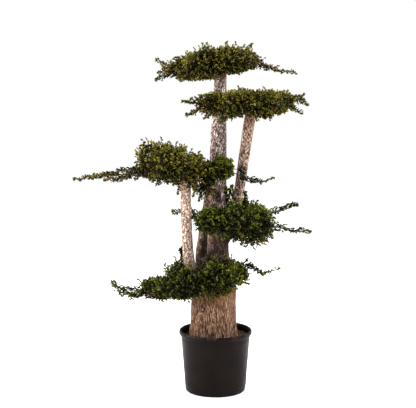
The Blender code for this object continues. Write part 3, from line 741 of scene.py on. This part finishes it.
trunkCourse = [Vector(point) for point in trunkLook["course"]]
trunkBark = makeBarkMaterial("fibrous trunk bark", (buttZone, stemZone), (0.42, 0.72), "#7d5434", 0.012)
paleBark = makeBarkMaterial("pale bough bark", (paleZone,), (0.4, 0.8), "#a06c42", 0.009)
brownBark = makeBarkMaterial("brown bough bark", (brownZone,), (0.5, 0.9), "#8f6039", 0.01)
boughs = (("bough_left", paleBark, 21.0), ("bough_middle", brownBark, 33.0),
          ("bough_right", brownBark, 47.0))


def limbRings():  # centres and radii of every limb, to keep foliage out of the wood
    rings = {}
    centres = [along(trunkCourse, ring / 60) for ring in range(61)]
    rings["trunk"] = [(centre, trunkRadius(centre.z)) for centre in centres]
    for name, *rest in boughs:
        course, rootRadius, tipRadius = boughLook[name]
        course = [Vector(point) for point in course]
        rings[name] = [(along(course, ring / 30), rootRadius + (tipRadius - rootRadius) * ring / 30)
                       for ring in range(31)]
    return rings


def markPaintedShade(mesh, own):  # painted shade on a limb's bark: darker where it faces another limb closely, inside the top pad, and in shadow patches in front
    look = boughLook
    points = np.empty(3 * len(mesh.vertices), dtype=np.float32)
    mesh.vertices.foreach_get("co", points)
    points = points.reshape(-1, 3)
    near = np.full(len(points), 1.0)
    for name, rings in limbs.items():
        if name != own:
            for centre, radius in rings:
                near = np.minimum(near, np.linalg.norm(points - np.array(tuple(centre)), axis=1) - radius)
    share = np.clip(1.0 - near / look["paintedShadeReach"], 0.0, 1.0)
    paintedShade = look["paintedShadeMost"] * share * share * (3.0 - 2.0 * share)
    if own == "trunk":
        paintedShade *= np.clip((points[:, 2] - look["paintedShadeFrom"]) / 0.05, 0.0, 1.0)
    covered = np.clip((points[:, 2] - look["covered"]) / 0.02, 0.0, 1.0)
    paintedShade = np.maximum(paintedShade, look["coveredShadeMost"] * covered)
    for x, z, width, height, most in look["paintedShadows"]:
        spread = ((points[:, 0] - x) / width) ** 2 + ((points[:, 2] - z) / height) ** 2
        paintedShade = np.maximum(paintedShade, most * np.exp(-spread * spread) * (points[:, 1] < look["front"]))
    layer = mesh.attributes.new("paintedShade", "FLOAT", "POINT")
    layer.data.foreach_set("value", paintedShade.astype(np.float32))
    return mesh


limbs = limbRings()
trunkMesh = makeTube("trunkBark", trunkLook["sides"], trunkLook["rings"], trunkSurface)
addPiece("trunkBark", markPaintedShade(trunkMesh, "trunk"), trunkBark, ["trunk"])
for name, material, seed in boughs:
    mesh = makeTube(name + "_bark", boughLook["sides"], boughLook["rings"], boughSurface(name, seed))
    addPiece(name + "_bark", markPaintedShade(mesh, name), material, [name])
print("trunk and boughs made")


# The pads: the limb each stands about with its level, and its masses. A mass has a centre, a
# reach (along X, along Y, up, down), the two headings of its sector, and the level where its
# stem leaves the limb that carries it.
pads = {
    "top": ("trunk", 1.24, {
        "top_left": ((-0.092, 0.0, 1.243), (0.116, 0.116, 0.068, 0.045), (150, 210), 1.235),
        "top_front_left": ((-0.034, -0.066, 1.248), (0.12, 0.084, 0.098, 0.044), (210, 268), 1.24),
        "top_front_right": ((0.056, -0.066, 1.266), (0.1, 0.084, 0.081, 0.042), (268, 328), 1.245),
        "top_right": ((0.098, 0.0, 1.274), (0.096, 0.102, 0.053, 0.034), (328, 32), 1.25),
        "top_back_right": ((0.056, 0.066, 1.266), (0.104, 0.084, 0.08, 0.042), (32, 92), 1.245),
        "top_back_left": ((-0.036, 0.066, 1.248), (0.12, 0.084, 0.092, 0.044), (92, 150), 1.24),
    }),
    "upper": ("bough_right", 1.085, {
        "upper_left": ((0.018, -0.064, 1.12), (0.118, 0.104, 0.047, 0.05), (138, 222), 1.085),
        "upper_front_left": ((0.08, -0.126, 1.114), (0.112, 0.088, 0.066, 0.056), (222, 278), 1.08),
        "upper_front_right": ((0.18, -0.118, 1.116), (0.096, 0.084, 0.068, 0.07), (278, 332), 1.08),
        "upper_right": ((0.222, -0.05, 1.122), (0.094, 0.09, 0.05, 0.05), (332, 30), 1.085),
        "upper_back": ((0.118, 0.036, 1.126), (0.124, 0.082, 0.046, 0.046), (30, 138), 1.085),
    }),
    "left": ("bough_left", 0.85, {
        "left_outer": ((-0.22, -0.14, 0.892), (0.101, 0.106, 0.12, 0.058), (150, 210), 0.848),
        "left_front": ((-0.16, -0.203, 0.884), (0.112, 0.088, 0.112, 0.068), (210, 286), 0.845),
        "left_inner": ((-0.08, -0.136, 0.87), (0.078, 0.104, 0.08, 0.088), (286, 70), 0.848),
        "left_back": ((-0.16, -0.07, 0.886), (0.108, 0.082, 0.088, 0.06), (70, 150), 0.848),
    }),
    "middle": ("bough_middle", 0.825, {
        "middle_left": ((-0.034, -0.122, 0.855), (0.062, 0.086, 0.07, 0.088), (92, 268), 0.82),
        "middle_right": ((0.022, -0.118, 0.878), (0.048, 0.082, 0.05, 0.046), (272, 88), 0.82),
    }),
    "right": ("trunk", 0.65, {
        "right_inner": ((-0.02, -0.106, 0.68), (0.076, 0.096, 0.066, 0.068), (192, 262), 0.64),
        "right_front": ((0.066, -0.126, 0.672), (0.1, 0.09, 0.112, 0.086), (262, 312), 0.625),
        "right_outer": ((0.142, -0.078, 0.657), (0.107, 0.1, 0.08, 0.088), (312, 352), 0.66),
        "right_back": ((0.122, 0.04, 0.674), (0.108, 0.082, 0.086, 0.07), (352, 72), 0.66),
    }),
    "lower": ("trunk", 0.45, {
        "lower_outer": ((-0.212, -0.052, 0.413), (0.112, 0.086, 0.056, 0.052), (165, 204), 0.44),
        "lower_front_left": ((-0.122, -0.114, 0.424), (0.118, 0.096, 0.128, 0.046), (204, 248), 0.43),
        "lower_front": ((0.01, -0.122, 0.45), (0.092, 0.09, 0.12, 0.072), (248, 306), 0.44),
        "lower_right": ((0.08, -0.036, 0.466), (0.046, 0.092, 0.062, 0.05), (306, 20), 0.448),
        "lower_back": ((0.018, 0.11, 0.456), (0.098, 0.082, 0.062, 0.05), (20, 106), 0.452),
        "lower_back_left": ((-0.1, 0.082, 0.436), (0.11, 0.09, 0.056, 0.048), (106, 165), 0.448),
    }),
}
# The masses that another limb than their pad's carries
carriers = {"right_outer": "bough_right", "right_back": "bough_right"}
# The courses of the twigs that trail from a mass
tails = {
    "top_left": (
        ((-0.17, -0.01, 1.235), (-0.228, -0.005, 1.207)),
        ((-0.165, 0.01, 1.252), (-0.226, 0.005, 1.284)),
        ((-0.16, -0.03, 1.246), (-0.217, -0.032, 1.2335)),
    ),
    "top_right": (
        ((0.172, -0.005, 1.263), (0.24, -0.004, 1.246), (0.306, 0.0, 1.231)),
        ((0.12, -0.01, 1.32), (0.137, -0.012, 1.342)),
    ),
    "top_back_right": (
        ((0.02, 0.008, 1.272), (0.016, 0.022, 1.32)),
        ((0.024, -0.01, 1.272), (0.036, -0.014, 1.322)),
        ((0.006, 0.0, 1.272), (-0.01, 0.004, 1.314)),
    ),
    "upper_left": (
        ((-0.07, -0.078, 1.124), (-0.124, -0.08, 1.131)),
        ((-0.055, -0.088, 1.098), (-0.11, -0.09, 1.079)),
        ((-0.01, -0.1, 1.09), (-0.046, -0.104, 1.068)),
        ((0.05, -0.105, 1.086), (0.032, -0.107, 1.07), (0.0094, -0.108, 1.0495)),
    ),
    "upper_right": (
        ((0.28, -0.05, 1.134), (0.318, -0.05, 1.132), (0.348, -0.05, 1.117)),
        ((0.276, -0.056, 1.108), (0.325, -0.058, 1.082)),
        ((0.285, -0.05, 1.142), (0.3325, -0.05, 1.1543)),
    ),
    "left_outer": (
        ((-0.315, -0.14, 0.863), (-0.425, -0.14, 0.8565), (-0.5265, -0.14, 0.844)),
        ((-0.308, -0.165, 0.884), (-0.38, -0.172, 0.872), (-0.455, -0.168, 0.86)),
        ((-0.3, -0.112, 0.857), (-0.365, -0.104, 0.842), (-0.418, -0.1, 0.838)),
    ),
    "left_front": (
        ((-0.136, -0.19, 0.83), (-0.141, -0.192, 0.796)),
    ),
    "left_inner": (
        ((-0.074, -0.15, 0.815), (-0.086, -0.152, 0.782)),
    ),
    "middle_left": (
        ((-0.048, -0.14, 0.8), (-0.064, -0.144, 0.765)),
    ),
    "middle_right": (
        ((0.082, -0.118, 0.878), (0.104, -0.122, 0.852), (0.133, -0.125, 0.841),
         (0.17, -0.125, 0.8365), (0.2186, -0.122, 0.8463)),
    ),
    "right_inner": (
        ((-0.066, -0.108, 0.706), (-0.108, -0.084, 0.718), (-0.166, -0.084, 0.714)),
        ((-0.058, -0.104, 0.69), (-0.092, -0.1, 0.695)),
    ),
    "right_front": (
        ((0.064, -0.1, 0.775), (0.06, -0.1, 0.812)),
        ((0.05, -0.1, 0.75), (0.04, -0.1, 0.806)),
        ((0.106, -0.095, 0.74), (0.112, -0.095, 0.79)),
    ),
    "right_outer": (
        ((0.215, -0.062, 0.706), (0.264, -0.052, 0.727), (0.3112, -0.05, 0.739)),
        ((0.228, -0.066, 0.652), (0.3, -0.06, 0.641), (0.3618, -0.055, 0.636)),
    ),
    "lower_outer": (
        ((-0.3, -0.06, 0.409), (-0.35, -0.056, 0.407), (-0.399, -0.052, 0.438)),
        ((-0.28, -0.07, 0.394), (-0.33, -0.072, 0.393)),
        ((-0.135, -0.042, 0.51), (-0.13, -0.04, 0.5625)),
    ),
    "lower_front_left": (
        ((-0.07, -0.142, 0.44), (-0.081, -0.152, 0.4)),
    ),
    "lower_right": (
        ((0.108, -0.045, 0.503), (0.147, -0.048, 0.49), (0.186, -0.05, 0.474), (0.2487, -0.05, 0.4945)),
        ((0.1, -0.072, 0.448), (0.128, -0.078, 0.4365)),
    ),
}
# Shades of foliage, from the deepest, painted as shade inside, to the lightest, painted as light on the
# tips, and last the dried ones
shades = {
    "olive": ("#0f0d03", "#272305", "#403c0d", "#5a5514", "#757025", "#6f4d2c"),
    "green": ("#0b0b03", "#1e1f04", "#343809", "#4d530f", "#6c7022", "#634529"),
}
padShades = {"top": "olive", "upper": "olive", "left": "olive", "middle": "green",
             "right": "green", "lower": "green"}
growth = {
    "directions": 72,  # ways out of each mass that are tried
    "jitter": 0.2,
    "lift": 0.2,
    "lumps": 0.22,  # how far clumps stand out or dip, as a share of the reach
    "lumpSize": 0.05,
    "uneven": (0.8, 1.07),  # how much further some branchlets grow than others
    "smallUneven": (0.7, 1.2),  # the same for a small mass, which would look round
    "rosette": 5,  # fronds round the one at a branchlet's end
    "spread": 44,  # degrees from the branchlet to those fronds
    "sidePitch": 0.028,  # between the fronds along a branchlet
    "barest": 0.38,  # share of a branchlet that bears none
    "overlap": 0.02,  # how far fronds may cross the wall between two masses
    "limbClear": 0.003,
    "dried": 0.06,  # share of the lowest fronds
    "driedBelow": -0.25,
    "seed": 5,
    "smallReach": 0.066,
    "smooth": 0.94,  # the outline where it has no lump, as a share of the reach
    "stem": (0.0065, 0.0039),  # radii at the root and the tip
    "branchlet": (0.0015, 0.0009),
    "joint": (0.55, 1.0),  # share of the stem at which branchlets leave it
    "shortest": 0.02,
    "endFrond": 0.054,
    "endFurther": 0.11,
    "rosetteFronds": (0.034, 0.052),
    "sideFrond": 0.04,
    "sideLean": (48, 72),  # degrees
    "sideWithin": 0.9,
}
frondLook = {
    "lengths": (0.05, 0.034, 0.022, 0.012),
    "tuftPitch": 0.0084,
    "tuft": 0.018,
    "fingerRadius": 0.0026,
    "fingerLean": 32,  # degrees between a side finger and its shoot
    "leans": (38, 24),  # degrees between a shoot and its twig, in a mass and along a tail
    "twigRadius": 0.0008,
    "templates": 8,  # of each length
    "dark": 0.45,  # share of a frond, from its root, that is two shades deeper, as painted shade
}
tailLook = {
    "pitch": 0.0048,
    "frondAtRoot": 0.04,
    "frondAtTip": 0.013,
    "shortest": 0.0105,
    "taper": 0.14,  # metres from the tip over which the fronds shorten
    "twig": (0.0016, 0.0007),
    "ripple": 0.0016,
    "rippleRun": 0.011,
    "lean": (8, 24),
    "turn": 2.4,
    "end": 0.008,
    "dried": 0.05,
    # masses whose tails are fuller than most
    "fuller": {"lower_outer": 1.9, "lower_front_left": 2.0, "top_back_right": 2.4, "top_left": 1.3,
               "upper_left": 1.3, "upper_right": 1.2, "right_inner": 1.5, "right_front": 1.4,
               "right_outer": 1.2},
}


def limbPoint(limb, height):
    for (start, radius), (end, other) in zip(limb, limb[1:]):
        if start.z <= height <= end.z:
            return start + (end - start) * ((height - start.z) / (end.z - start.z))
    return limb[-1][0]


def reachTowards(reach, direction):
    upright = reach[2] if direction.z > 0.0 else reach[3]
    return 1.0 / math.sqrt((direction.x / reach[0]) ** 2 + (direction.y / reach[1]) ** 2
                           + (direction.z / upright) ** 2)


def edgeAt(centre, reach, offset):  # the lumpy outline of a mass along an offset
    direction = offset.normalized()
    smooth = reachTowards(reach, direction)
    lump = noise.noise((centre + direction * smooth) / growth["lumpSize"])
    return smooth * (growth["smooth"] + growth["lumps"] * lump)


def wayOut(centre, reach, start, heading, longest, own):
    # How far a ray runs inside a share of a mass's reach, up to the longest that is wanted
    length = longest
    while length > 0.0:
        offset = start + heading * length - centre
        if offset.length <= own * edgeAt(centre, reach, offset):
            break
        length -= 0.003
    return max(length, 0.0)


def wallsOf(padName, massName):
    # Planes that bound a mass: its sector's two, and one midway to each mass of another pad
    limbName, level, masses = pads[padName]
    centre, reach, sector = masses[massName][:3]
    centre = Vector(centre)
    apex = limbPoint(limbs[limbName], level)
    walls = []
    for heading, outward in zip(sector, (-90.0, 90.0)):
        turn = math.radians(heading + outward)
        normal = Vector((math.cos(turn), math.sin(turn), 0.0))
        walls.append((apex + normal * growth["overlap"], normal))
    others = [mass for name in pads if name != padName for mass in pads[name][2].values()]
    for otherCentre, otherReach, *rest in others:
        way = Vector(otherCentre) - centre
        normal = way.normalized()
        own = reachTowards(reach, normal)
        theirs = reachTowards(otherReach, -normal)
        if own + theirs > way.length:
            walls.append((centre + way * (own / (own + theirs)), normal))
    return walls


def inside(point, walls):
    return all((point - place).dot(normal) < 0.0 for place, normal in walls)


def clearOfLimbs(points, clear):
    for limb in limbs.values():
        for point in points:
            for (start, radius), (end, other) in zip(limb, limb[1:]):
                if abs(start.z - point.z) < 0.04 and (point - start).length < radius + clear:
                    return False
    return True


fingerLook = {
    "waist": 0.66,  # where a shoot is widest
    "turn": 0.5,
    "third": 2.0943951,  # radians between its corners
}
fingerFaces = np.array([(1, 2, 4), (2, 3, 4), (3, 1, 4), (2, 1, 0), (3, 2, 0), (1, 3, 0)])


def finger(root, heading, over, length, radius):
    # One shoot clad in scale leaves: a blunt three-sided spindle of six faces
    side = np.cross(over, heading)
    waist = root + heading * (fingerLook["waist"] * length)
    turns = [fingerLook["turn"] + corner * fingerLook["third"] for corner in range(3)]
    ring = [waist + radius * (side * math.cos(turn) + over * math.sin(turn)) for turn in turns]
    return np.array([root, *ring, root + heading * length]), fingerFaces


def turnedTo(heading, over, yaw, pitch):
    side = np.cross(over, heading)
    turned = heading * math.cos(yaw) + side * math.sin(yaw)
    turned = turned * math.cos(pitch) + over * math.sin(pitch)
    return turned / np.linalg.norm(turned)


def tuft(root, heading, over, size, rule):
    # A middle shoot, and two shorter ones set along it like the barbs of a feather
    radius = frondLook["fingerRadius"] * rule.uniform(0.9, 1.1)
    flip = rule.choice((-1.0, 1.0))
    barbs = []
    for place, sign, share in ((0.16, 1.0, 0.66), (0.38, -1.0, 0.56)):
        yaw = flip * sign * math.radians(frondLook["fingerLean"]) * rule.uniform(0.8, 1.2)
        way = turnedTo(heading, over, yaw, rule.uniform(-0.3, 0.3))
        start = root + heading * (place * size)
        barbs.append(finger(start, way, over, size * share * rule.uniform(0.9, 1.15), 0.9 * radius))
    return finger(root, heading, over, size, radius), joined(barbs)


def makeFrond(length, lean, seed):
    # A flat frond along +X: a fine twig with tufts set alternately, smaller to its tip.
    # Returns its shoots by how much lighter or deeper than the frond they are, as painted light and shade,
    # and its twig.
    rule = random.Random(seed)
    look = frondLook
    sway = rule.uniform(-0.12, 0.12)
    bow = rule.uniform(-0.04, 0.1)
    over = np.array((0.0, 0.0, 1.0))

    def spot(s):
        share = s / length
        return np.array((s, sway * length * math.sin(2.6 * share), bow * length * math.sin(math.pi * share)))

    if length < look["tuft"]:  # a shoot alone
        middle, barbs = tuft(spot(0.0), np.array((1.0, 0.0, 0.0)), over, length, rule)
        return {0: barbs, 1: middle}, None
    tip = length - 0.8 * look["tuft"]
    twig = finger(spot(0.0), spot(tip) / np.linalg.norm(spot(tip)), over, tip, look["twigRadius"])
    layers = {-2: [], -1: [], 0: [], 1: []}
    s, sign = min(0.14 * length, 0.3 * tip), rule.choice((-1.0, 1.0))
    while s < tip:
        share = s / length
        run = (spot(s + 0.001) - spot(s - 0.001)) / 0.002
        run /= np.linalg.norm(run)
        yaw = sign * math.radians(lean) * rule.uniform(0.8, 1.15)
        way = turnedTo(run, over, yaw, rule.uniform(-0.35, 0.45))
        size = look["tuft"] * (1.0 - 0.3 * share) * rule.uniform(0.8, 1.1)
        middle, barbs = tuft(spot(s), way, over, size, rule)
        # painted shade: the shoots near the root go two shades deeper; painted light: some middle shoots go
        # one lighter
        step = -2 if share < look["dark"] else 0
        layers[step + rule.choice((0, 1))].append(middle)
        layers[step].append(barbs)
        sign = -sign
        s += look["tuftPitch"] * rule.uniform(0.85, 1.15)
    middle, barbs = tuft(spot(tip), run, over, 0.8 * look["tuft"], rule)
    layers[1].append(middle)
    layers[0].append(barbs)
    return {step: joined(parts) for step, parts in layers.items() if parts}, twig


fronds = {(lean, length): [makeFrond(length * (0.92 + 0.02 * index), lean, 100 * number + index)
                           for index in range(frondLook["templates"])]
          for lean in frondLook["leans"] for number, length in enumerate(frondLook["lengths"])}


def frameOf(heading, rollFrom, roll):  # rows: heading, side and over of a spray
    heading = heading.normalized()
    over = (rollFrom - heading * rollFrom.dot(heading)).normalized()
    over = Matrix.Rotation(roll, 3, heading) @ over
    return np.array((tuple(heading), tuple(over.cross(heading)), tuple(over)))


def placed(part, axes, root, scale):
    points, faces = part
    return points * scale @ axes + np.array(tuple(root)), faces


dry = 5  # the place of the dried foliage among the shades
# weights of the painted light and shade (start, outer, height) and of tone that varies by clump and at
# random
shadeRule = {"start": 0.55, "outer": 2.4, "height": 0.5, "clump": 1.1, "chance": 0.9}


def shadeWithin(level):
    return min(dry - 1, max(0, int(level)))


def shadeOf(outer, height, clump, rule):
    # Painted light and shade: deep inside is the darkest, and the outer and upper fronds are lighter;
    # clumps and chance vary the tone as well. Some of the lowest have dried.
    if height < growth["driedBelow"] and rule.random() < growth["dried"]:
        return dry
    look = shadeRule
    level = (look["start"] + look["outer"] * outer + look["height"] * height + look["clump"] * clump
             + rule.uniform(-look["chance"], look["chance"]))
    return shadeWithin(level)


def setFrond(wanted, lean, axes, start, shade, rule, tufts, twigs):
    # A frond of the nearest length, so that its shoots keep their size
    length = min(frondLook["lengths"], key=lambda long: abs(math.log(long / wanted)))
    layers, twig = rule.choice(fronds[lean, length])
    scale = min(1.2, max(0.8, wanted / length))
    for step, part in layers.items():
        own = dry if shade == dry else shadeWithin(shade + step)
        tufts[own].append(placed(part, axes, start, scale))
    if twig:
        twigs.append(placed(twig, axes, start, scale))


def growMass(padName, massName, tufts, twigs):
    padLimb, masses = pads[padName][0], pads[padName][2]
    centre, reach, sector, level = masses[massName]
    centre = Vector(centre)
    rule = random.Random(growth["seed"] + sum(ord(letter) for letter in massName))
    walls = wallsOf(padName, massName)
    root = limbPoint(limbs[carriers.get(massName, padLimb)], level)
    twigs.append(twigArrays([root, root.lerp(centre, 0.5), centre], *growth["stem"], 5))

    def addFrond(start, heading, facing, wanted, outer, clump, own=1.0):
        heading = heading.normalized()
        length = wayOut(centre, reach, start, heading, wanted, own)
        if length < growth["shortest"]:
            return
        end = start + heading * length
        if not (inside(end, walls) and inside(start, walls)):
            return
        if not clearOfLimbs((start, start.lerp(end, 0.5), end), growth["limbClear"]):
            return
        axes = frameOf(heading, facing, rule.uniform(-0.6, 0.6))
        offset = end - centre
        share = min(1.0, offset.length / reachTowards(reach, offset.normalized()))
        shade = shadeOf((share - 0.45) / 0.55 * outer, offset.z / reach[2], clump, rule)
        setFrond(length, frondLook["leans"][0], axes, start, shade, rule, tufts, twigs)

    golden = math.pi * (3.0 - math.sqrt(5.0))
    turn = rule.uniform(0.0, fullTurn)
    lifted = Vector((0, 0, growth["lift"]))
    for index in range(growth["directions"]):
        height = 1.0 - 2.0 * (index + 0.5) / growth["directions"]
        ring = math.sqrt(1.0 - height * height)
        angle = turn + index * golden
        direction = Vector((ring * math.cos(angle), ring * math.sin(angle), height))
        jitter = Vector([rule.uniform(-growth["jitter"], growth["jitter"]) for axis in range(3)])
        direction = (direction + jitter).normalized()
        joint = root.lerp(centre, rule.uniform(*growth["joint"]))
        own = rule.uniform(*growth["uneven" if reach[0] > growth["smallReach"] else "smallUneven"])
        edge = own * edgeAt(centre, reach, direction)
        tip = centre + direction * max(0.35 * edge, edge - 0.034 - rule.uniform(0.0, 0.014))
        if not inside(tip, walls) or not clearOfLimbs((tip,), 0.006):
            continue
        bow = Vector((0, 0, rule.uniform(0.0, 0.12) * (tip - joint).length))
        course = [joint.lerp(tip, part / 5) + bow * math.sin(math.pi * part / 5) for part in range(6)]
        twigs.append(twigArrays(course, *growth["branchlet"]))
        run = (tip - joint).normalized()
        across = run.orthogonal().normalized()
        clump = noise.noise(tip / 0.05) + rule.uniform(-0.35, 0.35)
        addFrond(tip, run + lifted, across, growth["endFrond"], 1.0, clump, own + growth["endFurther"])
        first = rule.uniform(0.0, fullTurn)
        for step in range(growth["rosette"]):
            out = Matrix.Rotation(first + fullTurn * step / growth["rosette"], 3, run) @ across
            lean = math.radians(growth["spread"] * rule.uniform(0.8, 1.25))
            heading = run * math.cos(lean) + out * math.sin(lean) + lifted
            back = rule.uniform(0.0, 0.01)
            wanted = rule.uniform(*growth["rosetteFronds"])
            addFrond(tip - run * back, heading, run, wanted, 1.0, clump, own - 0.01)
        length = (tip - joint).length
        s = growth["barest"] * length
        around = rule.uniform(0.0, fullTurn)
        while s < length - 0.008:
            out = Matrix.Rotation(around, 3, run) @ across
            lean = math.radians(rule.uniform(*growth["sideLean"]))
            heading = run * math.cos(lean) + out * math.sin(lean) + lifted
            addFrond(along(course, s / length), heading, run, growth["sideFrond"],
                     0.2 + 0.6 * s / length, clump, growth["sideWithin"] * own)
            around += golden
            s += growth["sidePitch"] * rule.uniform(0.8, 1.2)

    for tail in tails.get(massName, ()):
        growTail(centre, tail, tailLook["fuller"].get(massName, 1.0), tufts, twigs, rule)


def growTail(centre, tail, fullness, tufts, twigs, rule):
    # One long trailing twig, clad all round in fronds that shorten to its tip
    look = tailLook
    points = [Vector(point) for point in tail]
    points.insert(0, centre + (points[0] - centre) * 0.35)
    length = sum((end - start).length for start, end in zip(points, points[1:]))
    steps = max(6, round(length / 0.012))
    wave = rule.uniform(0.0, 6.0)
    course = []
    for part in range(steps + 1):
        share = part / steps
        point = along(points, min(share, 1.0 - look["end"] / length))
        point.z += look["ripple"] * math.sin(wave + share * length / look["rippleRun"])
        course.append(point)
    twigs.append(twigArrays(course, *look["twig"], 4))
    s, around = 0.16 * length, rule.uniform(0.0, 6.0)
    while s < length - look["end"]:
        share = s / length
        left = length - s
        here = along(course, share)
        run = (along(course, share + 0.02) - along(course, share - 0.02)).normalized()
        out = Matrix.Rotation(around, 3, run) @ run.orthogonal().normalized()
        lean = math.radians(rule.uniform(*look["lean"]))
        heading = run * math.cos(lean) + out * math.sin(lean)
        grown = min(1.0, left / look["taper"])
        long = look["frondAtTip"] + (look["frondAtRoot"] - look["frondAtTip"]) * grown
        long = max(look["shortest"], min(fullness * long * rule.uniform(0.75, 1.05), left + 0.004))
        axes = frameOf(heading, out, rule.uniform(-0.7, 0.7))
        # painted light: a tail's fronds get lighter towards its tip
        shade = dry if rule.random() < look["dried"] else int(2.0 + share + rule.uniform(-0.8, 0.8))
        setFrond(long, frondLook["leans"][1], axes, here, shade, rule, tufts, twigs)
        around += look["turn"]
        s += look["pitch"] * (0.6 + 0.4 * grown) * rule.uniform(0.85, 1.15)
    axes = frameOf(course[-1] - course[-2], Vector((0, -0.3, 1)), 0.0)
    end = np.array(tuple(course[-1]))
    tufts[3].append(joined(tuft(end, axes[0], axes[2], look["shortest"], rule)))


def makeFoliageMaterial(name, colour):
    # Scale foliage: small waxy shoots, so each catches a soft gleam. Its colour is one plain
    # value, and the shades, which paint light and shade as well as the real tone of clumps, are dealt out by
    # spray.
    material, tree, shader = newMaterial(name)
    feed(tree, shader, {"Base Color": linearColour(colour), "Roughness": 0.6,
                        "Specular IOR Level": 0.12, "IOR": 1.42})
    return material


foliageMaterials = {
    kind: [makeFoliageMaterial(kind + " juniper scale leaf " + str(index), colour)
           for index, colour in enumerate(colours)]
    for kind, colours in shades.items()}
twigMaterial, twigTree, twigShader = newMaterial("young juniper wood")  # tan to rust, dry
feed(twigTree, twigShader, {"Base Color": linearColour("#33280f"), "Roughness": 0.8})

total = 0
for padName, pad in pads.items():
    masses = pad[2]
    tufts, twigs = [[] for shade in range(dry + 1)], []
    for massName in masses:
        growMass(padName, massName, tufts, twigs)
    looks = foliageMaterials[padShades[padName]]
    grown = [("leaves_" + padName + "_" + str(index), parts, looks[index], "foliage")
             for index, parts in enumerate(tufts) if parts]
    grown.append(("twigs_" + padName, twigs, twigMaterial, "bough_bark"))
    for name, parts, material, slotName in grown:
        points, faces = joined(parts)
        total += len(faces)
        addPiece(name, arrayMesh(name, points, faces), material, list(masses))
    print(padName, "pad grown")
print("foliage has", total, "faces")
